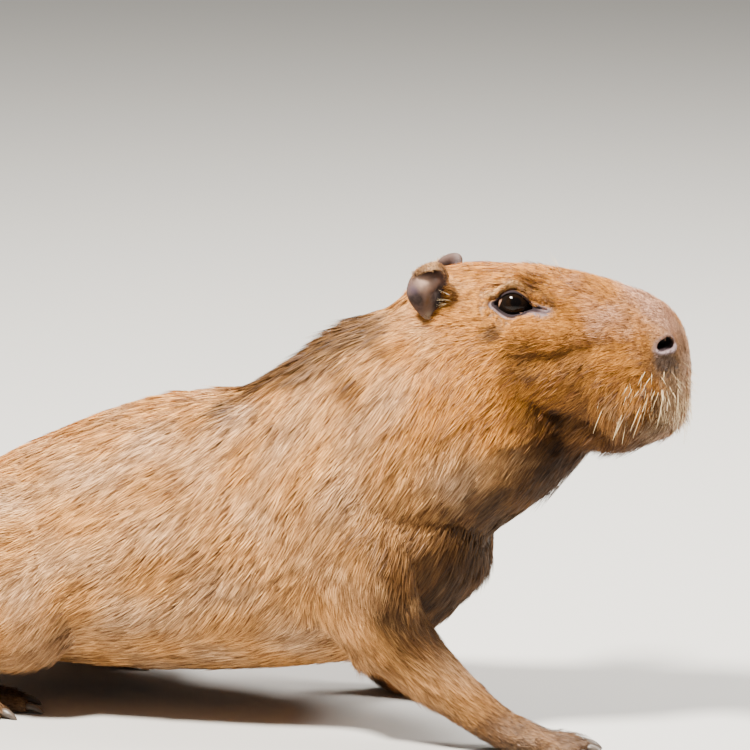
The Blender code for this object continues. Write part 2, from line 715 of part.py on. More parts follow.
def almond(side, collection):
    """The cutter that opens the lids: an almond pointed at both corners, run out sideways."""
    centre, forward, outward, up = eye_frame(side)
    half_length, half_height = LID_OPENING
    steps = 16
    near, far = [], []
    for k in range(steps):
        angle = 2 * math.pi * k / steps
        reach = math.cos(angle)
        lift = math.sin(angle) * (1 - 0.55 * reach**2)
        along, across = reach * half_length, lift * half_height
        near.append(centre + forward * along + up * across + outward * 0.004)
        far.append(centre + forward * along * 1.25 + up * across * 1.35 + outward * 0.040)
    return add_object("almond", bridge([near, far]), collection)


def add_lids(head, side, collection):
    """A lid over the eyeball, opened by the almond, with the socket behind it."""
    centre = head_point(EYE_PLACE, side)
    boolean(head, ball(centre, EYE_RADIUS + LID_THICKNESS, 20, 12, collection), "UNION")
    boolean(head, almond(side, collection), "DIFFERENCE")
    boolean(head, ball(centre, EYE_RADIUS + GAP, EYE_SEGMENTS, EYE_RINGS, collection), "DIFFERENCE")


def cut_nostril(head, side, collection):
    """A slanting comma of a pit at the upper front corner of the muzzle."""
    back, front = head_point(NOSTRIL_BACK, side), head_point(NOSTRIL_FRONT, side)
    along = (front - back) / 2
    inward = (head_turn().to_3x3() @ Vector((-0.55, -side * 0.80, -0.05))).normalized()
    up = inward.cross(along).normalized()
    deep, tall = NOSTRIL_HALF
    place = Matrix((along, inward * deep, up * tall)).transposed().to_4x4()
    mesh = bmesh.new()
    bmesh.ops.create_uvsphere(mesh, u_segments=12, v_segments=8, radius=1)
    for vertex in mesh.verts:
        vertex.co.z *= 1 + 0.35 * vertex.co.x
        vertex.co.z -= 0.5 * (vertex.co.x ** 2)
    bmesh.ops.transform(mesh, verts=mesh.verts, matrix=Matrix.Translation((back + front) / 2) @ place)
    bmesh.ops.recalc_face_normals(mesh, faces=mesh.faces)
    made = bpy.data.meshes.new("nostril")
    mesh.to_mesh(made)
    mesh.free()
    boolean(head, add_object("nostril", made, collection), "DIFFERENCE")


def ear(side, collection):
    """A small cup, hollow outwards and forwards, round above and narrow below, its top folded over."""
    spokes = 20
    half_breadth, half_height = EAR_SIZE
    mesh = bmesh.new()
    middle = mesh.verts.new((0, 0, 0))
    loops = []
    for side_reach, side_depth, top_reach, top_depth in list(zip(*EAR_SIDE, *EAR_TOP))[1:]:
        loop = []
        for k in range(spokes):
            angle = 2 * math.pi * k / spokes
            above, below = max(0.0, math.sin(angle)), max(0.0, -math.sin(angle))
            rolled = above**1.2
            reach = side_reach + (top_reach - side_reach) * rolled
            depth = side_depth + (top_depth - side_depth) * rolled
            slim = 1 - 0.50 * below**1.2
            loop.append(mesh.verts.new((
                half_breadth * reach * math.cos(angle) * slim,
                EAR_DEPTH * depth,
                half_height * reach * math.sin(angle),
            )))
        loops.append(loop)
    for k in range(spokes):
        n = (k + 1) % spokes
        mesh.faces.new((middle, loops[0][k], loops[0][n]))
        for inner, outer in zip(loops, loops[1:]):
            mesh.faces.new((inner[k], outer[k], outer[n], inner[n]))
    bmesh.ops.recalc_face_normals(mesh, faces=mesh.faces)
    made = bpy.data.meshes.new("ear")
    mesh.to_mesh(made)
    mesh.free()
    cup = add_object("ear_right" if side < 0 else "ear_left", made, collection)
    wall = cup.modifiers.new("wall", "SOLIDIFY")
    wall.thickness = EAR_THICKNESS
    wall.offset = 0.0
    apply_modifiers(cup)
    # the cup opens along +y of its own frame, the animal's left; the right ear is its mirror image
    facing = Matrix.Rotation(math.radians(-26), 4, "Z") @ Matrix.Rotation(math.radians(-8), 4, "Y")
    place = facing @ Matrix.Rotation(math.radians(-14), 4, "X")
    if side < 0:
        place = Matrix.Diagonal((1, -1, 1, 1)) @ place
    centre = head_point(EAR_PLACE, side) + (Vector(LEFT_EAR_SHIFT) if side > 0 else Vector())
    cup.data.transform(Matrix.Translation(centre) @ head_turn() @ place)
    if side < 0:
        cup.data.flip_normals()
    return cup


def grown(obj, margin, collection):
    """A copy whose surface lies a little outside the object's."""
    copy = copy_of(obj, "grown", collection)
    swell = copy.modifiers.new("swell", "DISPLACE")
    swell.strength = margin
    swell.mid_level = 0.0
    return apply_modifiers(copy)


def claw(name, root, out, length, collection):
    """A blunt, slightly hooked nail that sits on the toe's tip."""
    tip = root + out * (length + CLAW_LENGTH - CLAW_SUNK)
    base = root + out * (length - CLAW_SUNK)
    rows = []
    for share, height, size in ((0.0, 0.0098, 0.80), (0.25, 0.0095, 1.0), (0.6, 0.0078, 0.80),
                                (0.9, 0.0045, 0.42), (1.0, 0.0030, 0.16)):
        spot = base.lerp(tip, share)
        rows.append((spot.x, spot.y, height, CLAW_RADIUS * size * 0.85, CLAW_RADIUS * size))
    return add_object(name, limb_loft(rows, 5, 6), collection)


def part_head(flesh, collection):
    """Splits the head from the body at the back of the jaw, thins both out, and leaves the gap."""
    head, body = copy_of(flesh, "head", collection), flesh
    away = (head_turn().to_3x3() @ Vector(HEAD_CUT_WAY)).normalized()
    place = Vector(turned([HEAD_CUT])[0])
    keep_side(head, place, away, -CUT_ROOM)
    keep_side(body, place, -away, -CUT_ROOM)
    thin_out(head, HEAD_TRIANGLES)
    thin_out(body, BODY_TRIANGLES)
    keep_side(head, place, away, GAP / 2)
    keep_side(body, place, -away, GAP / 2)
    return head, body


def part_body(body, collection):
    """Parts the legs, the tail and the neck off the body; what is left is the torso."""
    made = {}
    boolean(body, block((-1, -1, -0.2), (1, 1, FLOOR), collection), "DIFFERENCE", "MANIFOLD")
    for leg in LEGS:
        cutters = leg_block(leg, 0.0, collection), leg_block(leg, GAP, collection)
        made[f"leg_{leg}"] = take_off(body, f"leg_{leg}", *cutters, collection)
    low, high = TAIL_BLOCK
    margin = Vector((GAP, GAP, GAP))
    cutters = block(low, high, collection), block(Vector(low) - margin, Vector(high) + margin, collection)
    made["tail"] = take_off(body, "tail", *cutters, collection)
    cutters = [half_space(NECK_CUT, NECK_CUT_WAY, margin, collection) for margin in (0.0, GAP)]
    made["neck"] = take_off(body, "neck", *cutters, collection)
    made["torso"] = body
    return made


def main():
    clear_scene()
    parts = bpy.data.collections.new("capybara")
    bpy.context.scene.collection.children.link(parts)
    coat = finish_of("coat", COAT_BROWN, 0.75)
    bare = finish_of("bare_skin", BARE_SKIN, 0.65)
    dark = finish_of("eye", EYE_DARK, 0.08)
    horn = finish_of("claw", CLAW_DARK, 0.45)

    head, body = part_head(fused(flesh_parts(), parts), parts)
    add_locks(body)
    made = {"head": head, **part_body(body, parts)}

    for side in (-1, 1):
        add_lids(head, side, parts)
        cut_nostril(head, side, parts)
    largest_piece(head)
    for side, word in ((-1, "right"), (1, "left")):
        shell = ear(side, parts)
        boolean(shell, grown(head, GAP, parts), "DIFFERENCE")
        boolean(shell, grown(made["neck"], GAP, parts), "DIFFERENCE")
        made[shell.name] = largest_piece(shell)
        eye = ball(head_point(EYE_PLACE, side), EYE_RADIUS, EYE_SEGMENTS, EYE_RINGS, parts, f"eye_{word}")
        made[eye.name] = eye

    for foot, fan in TOE_FANS.items():
        leg = made[f"leg_{foot}"]
        for k, (root, out, length) in enumerate(toe_lines(fan)):
            nail = claw(f"claw_{foot}_{k + 1}", root, out, length, parts)
            boolean(nail, block((-1, -1, -0.2), (1, 1, FLOOR), parts), "DIFFERENCE")
            boolean(leg, grown(nail, GAP, parts), "DIFFERENCE")
            made[nail.name] = nail

    points = np.vstack([points_of(obj.data) for obj in made.values()])
    low, high = points.min(0), points.max(0)
    to_origin = Matrix.Translation((-(low[0] + high[0]) / 2, -(low[1] + high[1]) / 2, -low[2]))
    for name, obj in made.items():
        obj.name = name
        obj.data.transform(to_origin)
        obj.data.shade_smooth()
        obj.data.materials.clear()
        kind = name.split("_")[0]
        obj.data.materials.append({"eye": dark, "ear": bare, "claw": horn}.get(kind, coat))


main()
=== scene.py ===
import math
import random

import bmesh
import bpy
import numpy as np
from mathutils import Matrix, Vector


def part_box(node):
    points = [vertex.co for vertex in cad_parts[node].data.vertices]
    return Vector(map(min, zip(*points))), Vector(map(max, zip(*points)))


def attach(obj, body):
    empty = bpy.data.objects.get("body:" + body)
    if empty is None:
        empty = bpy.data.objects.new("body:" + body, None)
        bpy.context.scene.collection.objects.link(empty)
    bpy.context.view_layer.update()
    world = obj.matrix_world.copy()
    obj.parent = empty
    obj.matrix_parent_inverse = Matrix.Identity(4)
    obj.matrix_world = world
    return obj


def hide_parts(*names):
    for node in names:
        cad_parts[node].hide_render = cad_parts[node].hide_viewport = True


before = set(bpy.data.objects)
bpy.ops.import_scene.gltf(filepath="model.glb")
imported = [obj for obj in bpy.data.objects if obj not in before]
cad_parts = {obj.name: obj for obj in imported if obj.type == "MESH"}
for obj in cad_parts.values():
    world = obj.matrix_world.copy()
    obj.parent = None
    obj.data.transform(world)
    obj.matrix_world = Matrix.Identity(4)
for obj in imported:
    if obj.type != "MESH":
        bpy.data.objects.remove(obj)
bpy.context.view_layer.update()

# The skin: one closed hide over head, neck, trunk, tail and legs. It is made from the solids, swollen
# until they meet, remeshed and smoothed, and the eyes bulge under it until the lids are opened below.
FLESH = ("head", "neck", "torso", "tail", "leg_front_right", "leg_front_left", "leg_hind_right",
         "leg_hind_left")
HIDE_GRAIN = 0.0022          # the remesh's voxel
SWELL = 0.0006               # how far each solid grows so that the cuts between them close
EYE_RADIUS = 0.0165
EYE_BULGE = 0.0024           # how far the skin stands off the eye before the lids are carved
HEAD_TURN, HEAD_ROLL = math.radians(8), math.radians(7)
SIDES = {"right": -1, "left": 1}

to_head = Matrix.Rotation(HEAD_TURN, 3, "Z") @ Matrix.Rotation(-HEAD_ROLL, 3, "X")
eye_centres = {}
for word in SIDES:
    eye_low, eye_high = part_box("eye_" + word)
    eye_centres[word] = (eye_low + eye_high) / 2
head_origin = (eye_centres["right"] + eye_centres["left"]) / 2 - to_head @ Vector((0.118, 0, 0.4275))


def on_head(x, y, z):
    """A place on the head, from x past the occiput, y to its left and height, in the part's frame."""
    return head_origin + to_head @ Vector((x, y, z))


def head_places(points):
    """The points as on_head takes them: past the occiput, to the left, and height."""
    return (points - np.array(head_origin)) @ np.array(to_head)


def near_eye(points, word, radius):
    return np.linalg.norm(points - np.array(eye_centres[word]), axis=1) < radius


def numbers(items, name, each=1, kind=np.float32):
    """One number, or a row of them, from every item of a mesh."""
    flat = np.empty(len(items) * each, kind)
    items.foreach_get(name, flat)
    return flat.reshape(-1, each) if each > 1 else flat


def array_of(mesh, kind):
    """The mesh's vertex positions or normals as rows of three numbers."""
    if kind == "normals":
        return numbers(mesh.vertex_normals, "vector", 3).astype(float)
    return numbers(mesh.vertices, "co", 3).astype(float)


def set_points(mesh, points):
    mesh.vertices.foreach_set("co", points.astype(np.float32).ravel())
    mesh.update()


def add_object(name, mesh):
    obj = bpy.data.objects.new(name, mesh)
    bpy.context.scene.collection.objects.link(obj)
    return obj


def mesh_of(name, form):
    """The bmesh as a new mesh."""
    mesh = bpy.data.meshes.new(name)
    form.to_mesh(mesh)
    form.free()
    return mesh


def settled(obj):
    """Puts the object's evaluated mesh in place of its own and leaves no modifiers."""
    mesh = bpy.data.meshes.new_from_object(obj.evaluated_get(bpy.context.evaluated_depsgraph_get()))
    obj.modifiers.clear()
    obj.data = mesh
    return obj


def add_copy(joined, mesh, grow=0.0):
    """Adds a copy of a mesh to a bmesh, its loose triangles merged and grown along the normals."""
    part = bmesh.new()
    part.from_mesh(mesh)
    bmesh.ops.remove_doubles(part, verts=part.verts, dist=1e-5)
    part.normal_update()
    for vertex in part.verts:
        vertex.co += vertex.normal * grow
    grown = mesh_of("grown", part)
    joined.from_mesh(grown)
    bpy.data.meshes.remove(grown)


def remeshed(name, joined, grain):
    """The bmesh as an object with one closed skin round all its forms."""
    obj = add_object(name, mesh_of(name, joined))
    remesh = obj.modifiers.new("skin", "REMESH")
    remesh.mode = "VOXEL"
    remesh.voxel_size = grain
    return settled(obj)


def eased(mesh, rounds, share=1.0, factor=0.5):
    """Smooths the mesh; share, a number or one per vertex, holds places back."""
    a, b = numbers(mesh.edges, "vertices", 2, np.int32).T
    count = len(mesh.vertices)
    valence = np.bincount(a, minlength=count) + np.bincount(b, minlength=count)
    points = array_of(mesh, "points")
    hold = np.broadcast_to(np.asarray(share, float), (count,))[:, None]
    for _ in range(rounds):
        total = np.stack([np.bincount(a, points[b, k], count) + np.bincount(b, points[a, k], count)
                          for k in range(3)], axis=1)
        points += factor * hold * (total / np.maximum(valence, 1)[:, None] - points)
    set_points(mesh, points)


hide = bmesh.new()
for name in FLESH:
    add_copy(hide, bpy.data.objects[name].data, SWELL)
for word in SIDES:
    bmesh.ops.create_uvsphere(hide, u_segments=40, v_segments=24, radius=EYE_RADIUS + EYE_BULGE,
                              matrix=Matrix.Translation(eye_centres[word]))
skin = remeshed("skin", hide, HIDE_GRAIN)
SHIFT = np.array((0.02911, 0.0, -0.0036))   # from the withers' frame to the part's
body = array_of(skin.data, "points") - SHIFT
eased(skin.data, 20, 1 - 0.75 * np.clip((0.055 - body[:, 2]) / 0.03, 0, 1))


def smooth(t):
    t = np.clip(t, 0, 1)
    return t * t * (3 - 2 * t)


def past(value, start, width):
    """0 up to the start and 1 from a width beyond it, with a soft step between them."""
    return smooth((value - start) / width)


def short_of(value, end, width):
    """0 beyond the end and 1 from a width before it, with a soft step between them."""
    return smooth((end - value) / width)


def ridge(away, width):
    """1 on a line, and a soft fall to nearly 0 within two widths of it."""
    return np.exp(-(away / width) ** 2)


def evened(row):
    """Each number of a row made the mean of the nine round it."""
    return np.convolve(np.pad(row, 4, "edge"), np.ones(9) / 9, "valid")


def under_locks(body):
    """1 on the nape, back and flanks, where the solids carry broad locks."""
    ahead = short_of(body[:, 0], 0.130, 0.04) * past(body[:, 0], -0.44, 0.03)
    return ahead * past(body[:, 2], 0.11, 0.04)


# the solids' broad locks are smoothed away, since the coat takes their place
eased(skin.data, 260, under_locks(body))

# The face worked into the skin: lids that open over each eye, the tear corner, nostrils, the fold of
# the cheek and the mouth. The skin is split finer round the features, and its own points are moved.
NOSTRIL = ((0.2638, 0.3918), (0.2672, 0.3933), (0.2704, 0.3946), (0.2730, 0.3957))   # ahead, height
NOSTRIL_DEPTH = 0.0090
MOUTH_DEPTH, MOUTH_HALF = 0.0020, 0.0019
CHEEK_DEPTH, CHEEK_HALF = 0.0026, 0.0070
CLEFT_DEPTH, CLEFT_HALF = 0.0030, 0.0022
MOUTH = ((0.288, 0.000, 0.316), (0.276, 0.018, 0.309), (0.256, 0.034, 0.308), (0.228, 0.044, 0.314),
         (0.198, 0.050, 0.324))
CHEEK_FOLD = ((0.128, 0.069, 0.380), (0.150, 0.070, 0.3785), (0.168, 0.066, 0.3790), (0.190, 0.063, 0.389),
              (0.214, 0.060, 0.3945))
# the lids' edges from the rear corner to the tear corner: ahead of the eye's middle, upper and lower edge
LIDS = ((-0.0208, -0.0034, -0.0040), (-0.0178, 0.0006, -0.0062), (-0.0120, 0.0066, -0.0098),
        (-0.0060, 0.0092, -0.0121), (-0.0010, 0.0095, -0.0122), (0.0030, 0.0084, -0.0110),
        (0.0074, 0.0062, -0.0090), (0.0110, 0.0038, -0.0066), (0.0150, 0.0008, -0.0040),
        (0.0200, -0.0009, -0.0032), (0.0250, -0.0015, -0.0029), (0.0315, -0.0022, -0.0028))
BALL = np.array((0.0182, 0.0165, 0.0165))   # the eyeball's half sizes along the lids, upwards and outwards
LID_STAND = 0.0012                           # how far the lids' edges stand off the eyeball


def refine(mesh, near):
    """Splits every face whose corners are all in the mask into four."""
    fine = bmesh.new()
    fine.from_mesh(mesh)
    faces = [f for f in fine.faces if all(near[v.index] for v in f.verts)]
    edges = list({e for f in faces for e in f.edges})
    bmesh.ops.subdivide_edges(fine, edges=edges, cuts=1, use_grid_fill=True)
    fine.to_mesh(mesh)
    fine.free()


def along_line(points, line):
    """Each point's distance to a line of straight pieces, and the nearest spot's share of its length."""
    line = np.array(line, float)
    lengths = np.linalg.norm(np.diff(line, axis=0), axis=1)
    before = np.concatenate(([0], np.cumsum(lengths)))
    nearest, place = np.full(len(points), np.inf), np.zeros(len(points))
    for k, (start, end) in enumerate(zip(line, line[1:])):
        way = end - start
        share = np.clip((points - start) @ way / (way @ way), 0, 1)
        gap = np.linalg.norm(points - start - share[:, None] * way, axis=1)
        closer = gap < nearest
        nearest = np.where(closer, gap, nearest)
        place = np.where(closer, (before[k] + share * lengths[k]) / before[-1], place)
    return nearest, place


def spots_on(line, share):
    """The spots at the given shares of a line's length."""
    lengths = np.linalg.norm(np.diff(line, axis=0), axis=1)
    before = np.concatenate(([0], np.cumsum(lengths))) / lengths.sum()
    return np.stack([np.interp(share, before, line[:, k]) for k in range(3)], axis=1)


def head_line(places, side):
    return [on_head(x, y * side, z) for x, y, z in places]


# the nostril's line is laid on the muzzle's own surface
in_head = head_places(array_of(skin.data, "points"))
right_half = in_head[in_head[:, 1] < -0.008]
nostril_line = []
for x, z in NOSTRIL:
    near = np.hypot(right_half[:, 0] - x, right_half[:, 2] - z) < 0.005
    nostril_line.append((x, -right_half[near, 1].mean(), z))

for radius in (0.042, 0.033, 0.024):
    points = array_of(skin.data, "points")
    near = np.zeros(len(points), bool)
    for word, side in SIDES.items():
        if radius > 0.03:
            near |= near_eye(points, word, radius)
        near |= along_line(points, head_line(nostril_line, side))[0] < radius * 0.42
        if radius > 0.04:
            near |= along_line(points, head_line(MOUTH, side))[0] < 0.009
    refine(skin.data, near)
points = array_of(skin.data, "points")
near = np.zeros(len(points), bool)
for word, side in SIDES.items():
    near |= near_eye(points, word, 0.036)
    near |= along_line(points, head_line(nostril_line, side))[0] < 0.017
eased(skin.data, 5, near.astype(float))


def eye_axes(side):
    """The eye's own directions: forward along the lids, upwards and outwards."""
    outward = Vector((0.20, side * 0.93, 0.20)).normalized()
    forward = Vector((0.99, 0, -0.09))
    forward = (forward - outward * forward.dot(outward)).normalized()
    return np.array([to_head @ v for v in (forward, forward.cross(outward) * side, outward)])


def from_eye(points, word):
    """Each point's place from an eye's middle: ahead, above and out, as rows."""
    return ((points - np.array(eye_centres[word])) @ eye_axes(SIDES[word]).T).T


def lid_gap(ahead, above):
    """How far inside the lids' edges a place is, in metres, and less than 0 outside them."""
    table = np.array(LIDS)
    steps = np.linspace(table[0, 0], table[-1, 0], 100)
    edges = [evened(np.interp(steps, table[:, 0], table[:, k])) for k in (1, 2)]
    top, bottom = [np.interp(ahead, steps, edge) for edge in edges]
    beyond = np.maximum(steps[0] - ahead, ahead - steps[-1])
    outside = -np.hypot(beyond, above - (top + bottom) / 2)
    return np.where(beyond > 0, outside, np.minimum(top - above, above - bottom))


points = array_of(skin.data, "points")
normals = array_of(skin.data, "normals")
masks = {name: np.zeros(len(points)) for name in ("margin", "bare", "pit")}
for word, side in SIDES.items():
    ahead, above, out = from_eye(points, word)
    at_eye = (out > -0.004) & (np.hypot(ahead, above) < 0.046)
    inside = np.where(at_eye, lid_gap(ahead, above), -1)
    spread = (ahead / BALL[0]) ** 2 + (above / BALL[1]) ** 2
    ball = BALL[2] * np.sqrt(np.maximum(1 - spread, 0))
    # the skin round the opening is drawn in over the ball, less at the tear corner
    deepest = 0.0066 - 0.0050 * past(ahead, 0.012, 0.008) - 0.0020 * past(-ahead, 0.014, 0.006)
    drawn_in = np.clip(out - ball - LID_STAND, -0.001, deepest)
    out -= np.where(at_eye, drawn_in * past(inside, -0.0095, 0.0085), 0)
    # rounded lids, the crease over the upper lid, the brow above it and the pouch under the eye
    relief = 0.0013 * ridge(inside + 0.0017, 0.0015)
    relief -= 0.0016 * ridge(inside + 0.0052, 0.0011) * smooth(above / 0.006 + 0.4)
    relief += 0.0022 * ridge(inside + 0.0100, 0.0034) * smooth(above / 0.008)
    relief -= 0.0009 * ridge(inside + 0.0056, 0.0014) * smooth(-above / 0.006)
    relief += 0.0010 * ridge(inside + 0.0095, 0.0028) * smooth(-above / 0.008)
    out += np.where(at_eye, relief, 0)
    # the opening is sunk behind the ball, and runs out to the tear corner as a groove
    over_ball = short_of(spread, 0.97, 0.12)
    sunk_to = over_ball * (ball - 0.0020) + (1 - over_ball) * (out - 0.0026)
    opened = past(inside, -0.0003, 0.0009) * at_eye
    out += (np.minimum(sunk_to, out) - out) * opened
    moved = np.array(eye_centres[word]) + np.stack((ahead, above, out), axis=1) @ eye_axes(side)
    points = np.where(at_eye[:, None], moved, points)
    wide = 0.0030 + 0.0010 * short_of(ahead, 0.004, 0.01)
    masks["margin"] += smooth((inside + wide) / 0.0012) * (1 - 0.85 * past(ahead, 0.0205, 0.010))
    corners = 0.35 + 0.65 * smooth((abs(ahead - 0.001) - 0.006) / 0.006)
    masks["bare"] += smooth((inside + wide + 0.0030) / 0.0020) * smooth(-above / 0.006) * corners
    tear_patch = ((ahead - 0.0210) / 0.0105) ** 2 + ((above + 0.0070) / 0.0040) ** 2
    masks["bare"] += np.where(at_eye, np.exp(-tear_patch), 0)
    masks["bare"] += past(inside, -0.0030, 0.0015) * past(ahead, 0.013, 0.004)

    line = head_line(nostril_line, side)
    slit, place = along_line(points, line)
    half = 0.0054 + 0.0006 * smooth(place / 0.8)
    inward = np.array(to_head @ Vector((-0.55, -side * 0.80, 0.05)).normalized())
    lowest = np.interp(place, np.linspace(0, 1, len(line)), [spot[2] for spot in line]) - points[:, 2]
    rim = ridge(slit - half - 0.0026, 0.0022) * (0.0006 + 0.0016 * smooth(lowest / 0.004))
    points += inward * (smooth((half - slit) / 0.0026 + 0.5) * NOSTRIL_DEPTH - rim)[:, None]
    # the nostril's walls are painted nearly black as painted shade
    masks["pit"] += smooth((half + 0.0016 - slit - 0.0012 * smooth(lowest / 0.003)) / 0.0026)
    masks["bare"] += smooth((half + 0.0058 - slit) / 0.0036) * (0.35 + 0.65 * past(lowest, -0.001, 0.005))

    away, _ = along_line(points, head_line(MOUTH, side))
    points -= normals * (MOUTH_DEPTH * ridge(away, MOUTH_HALF))[:, None]
    # painted shade along the mouth's groove
    masks["pit"] += 0.7 * ridge(away, 0.0022)
    away, _ = along_line(points, head_line(CHEEK_FOLD, side))
    points -= normals * (CHEEK_DEPTH * ridge(away, CHEEK_HALF))[:, None]
masks = {name: np.clip(mask, 0, 1) for name, mask in masks.items()}
in_head = head_places(points)
cleft = ridge(in_head[:, 1], CLEFT_HALF) * past(in_head[:, 0], 0.255, 0.01)
cleft *= short_of(in_head[:, 2], 0.372, 0.012) * past(in_head[:, 2], 0.300, 0.01)
points -= normals * (CLEFT_DEPTH * cleft)[:, None]

# the skin lies under the solids' surface by the depth of the coat, less on the face and feet
COAT_DEPTH, LOCK_DEPTH = 0.0024, 0.0026
in_head = head_places(points)
head_share = past(in_head[:, 0], -0.035, 0.06) * past(in_head[:, 2], 0.24, 0.05)
depth = COAT_DEPTH * (1 - 0.45 * head_share) * (1 - 0.5 * past(in_head[:, 0], 0.20, 0.06) * head_share)
depth *= 1 - 0.75 * np.clip((0.10 - points[:, 2]) / 0.06, 0, 1)
depth += LOCK_DEPTH * under_locks(points - SHIFT)
depth *= 1 - np.maximum(masks["margin"], masks["pit"])
points -= normals * depth[:, None]
points[:, 2] = np.maximum(points[:, 2], 0.0002)
set_points(skin.data, points)
eased(skin.data, 3, masks["pit"])
skin.data.shade_smooth()

# The markings that skin and coat share, one colour for each point of the skin: tan flanks, a golden
# head, dark nape and feet, a cream lip, rosy muzzle, lilac lids and painted shade. Colours are linear.
TAN, GOLD = (0.630, 0.302, 0.088), (0.530, 0.206, 0.026)
UMBER, SMOKE = (0.060, 0.024, 0.006), (0.080, 0.050, 0.034)
# the near-black brown of painted shade under the jaw, throat and lip
PAINTED_SHADE_BROWN = (0.040, 0.017, 0.005)
CREAM, ROSY, LILAC = (0.700, 0.470, 0.270), (0.680, 0.390, 0.270), (0.400, 0.300, 0.320)
LIP_EDGE = ((0.1502, 0.3334), (0.1845, 0.3305), (0.2190, 0.3187), (0.2528, 0.2985))   # ahead, height
BROW_STREAK = ((0.010, 0.0215), (0.036, 0.0095), (0.0395, 0.0025))   # ahead of and above the eye's middle
points = array_of(skin.data, "points")
normals = array_of(skin.data, "normals")
body = points - SHIFT
in_head = head_places(points)
hx, hy, hz = in_head.T
halved = np.stack((hx, abs(hy), hz), axis=1)
marks = np.tile(TAN, (len(points), 1))
field = np.random.default_rng(5)


def wander(points, pitch, count=7):
    """A smooth wandering number over space, about -1 to 1, with the given spacing in metres."""
    ways = field.normal(size=(count, 3))
    ways *= (2 * math.pi / pitch) / np.linalg.norm(ways, axis=1)[:, None]
    return np.sin(points @ ways.T + field.uniform(0, 6.28, count)).sum(1) / math.sqrt(count) * 1.2


def paint(share, colour):
    marks[:] += (np.array(colour) - marks) * np.clip(share, 0, 1)[:, None]


def near_place(place, radius):
    """1 at a place on the head, on both sides, and 0 from the radius on."""
    return smooth(1.3 - 1.3 * np.linalg.norm(halved - place, axis=1) / radius)


ragged = 0.010 * wander(points, 0.05) + 0.005 * wander(points, 0.02)
paint(0.30 + 0.3 * wander(points, 0.07), (0.600, 0.360, 0.190))
paint(0.92 * smooth((hx + ragged * 2 + 0.02) / 0.09) * smooth((hz + ragged - 0.28) / 0.05), GOLD)
nape = smooth((body[:, 0] + 0.075 + ragged) / 0.05) * smooth((0.125 - body[:, 0] + ragged) / 0.04)
nape *= smooth((0.070 - abs(body[:, 1] - 0.012) + ragged) / 0.03) * past(body[:, 2], 0.22, 0.03)
paint(0.85 * nape, UMBER)
paint(0.60 * smooth((0.095 - body[:, 2] + ragged) / 0.07), (0.200, 0.105, 0.048))
paint(0.75 * smooth((0.050 - body[:, 2] + ragged) / 0.04), SMOKE)
# painted shade under the jaw and over the throat and chest
throat_shade = smooth((body[:, 0] - 0.09 + ragged * 2) / 0.07) * past(body[:, 2], 0.07, 0.05)
throat_shade *= smooth((0.236 + 0.62 * (body[:, 0] - 0.13) - body[:, 2] + ragged * 1.5) / 0.050)
paint(0.94 * throat_shade, PAINTED_SHADE_BROWN)
# the lower shoulders darkened: partly painted shade under the head, partly darker wet fur
shoulder_shade = np.linalg.norm((abs(body) - (0.135, 0.110, 0.215)) / (0.085, 0.08, 0.060), axis=1)
paint(0.60 * smooth(1.25 - shoulder_shade + ragged * 8) * (body[:, 0] > 0), (0.220, 0.096, 0.026))
lip_height = np.interp(hx, *np.array(LIP_EDGE).T)
# painted shade below the upper lip's edge, over the lower jaw
under_lip_shade = smooth((lip_height + 0.004 - hz + ragged * 0.6) / 0.012) * past(hx, 0.12, 0.04)
under_lip_shade *= short_of(hx, 0.262, 0.02)
paint(0.94 * under_lip_shade * head_share, PAINTED_SHADE_BROWN)
# the lower side of the muzzle darker: partly darker fur, partly painted shade under the cheek
lip_shade = smooth((lip_height + 0.078 - hz + ragged) / 0.050) * past(hx, 0.165, 0.03)
paint(0.75 * lip_shade * short_of(hx, 0.262, 0.02) * head_share, (0.180, 0.074, 0.018))
# painted shade along the fold of the cheek and in the hollow under the cheekbone
paint(0.80 * ridge(along_line(halved, CHEEK_FOLD)[0], 0.009), UMBER)
paint(0.75 * near_place((0.142, 0.070, 0.3780), 0.024), UMBER)
paint(0.85 * near_place((0.108, 0.066, 0.4015), 0.014), UMBER)
paint(0.75 * smooth((hx - 0.180 + ragged * 2) / 0.08) * smooth((hz - 0.396 + ragged) / 0.03), ROSY)
under_nostril = near_place((0.2685, 0.037, 0.3785), 0.026)
paint(1.3 * under_nostril, (0.110, 0.066, 0.042))
from_nostril = along_line(halved, nostril_line)[0]
# painted shade over the nostril's upper edge, where its wall rolls inwards
paint(0.60 * short_of(from_nostril, 0.0105, 0.005) * past(hz, 0.396, 0.004), SMOKE)
muzzle_front = smooth((hx - 0.264 + ragged * 0.3) / 0.012) * short_of(hz, 0.405, 0.03)
# painted shade, nearly black, in the opening of the ear
ear_hole_shade = near_place((0.0450, 0.0560, 0.4320), 0.013)
paint(0.6 * ear_hole_shade, UMBER)
paint(ear_hole_shade, (0.020, 0.012, 0.008))
paint(0.70 * muzzle_front * (1 - under_nostril), CREAM)
nose_ridge = smooth((hx - 0.268 + 0.25 * (0.40 - hz)) / 0.012) * smooth((0.030 - abs(hy)) / 0.012)
paint(0.60 * nose_ridge, (0.700, 0.440, 0.290))
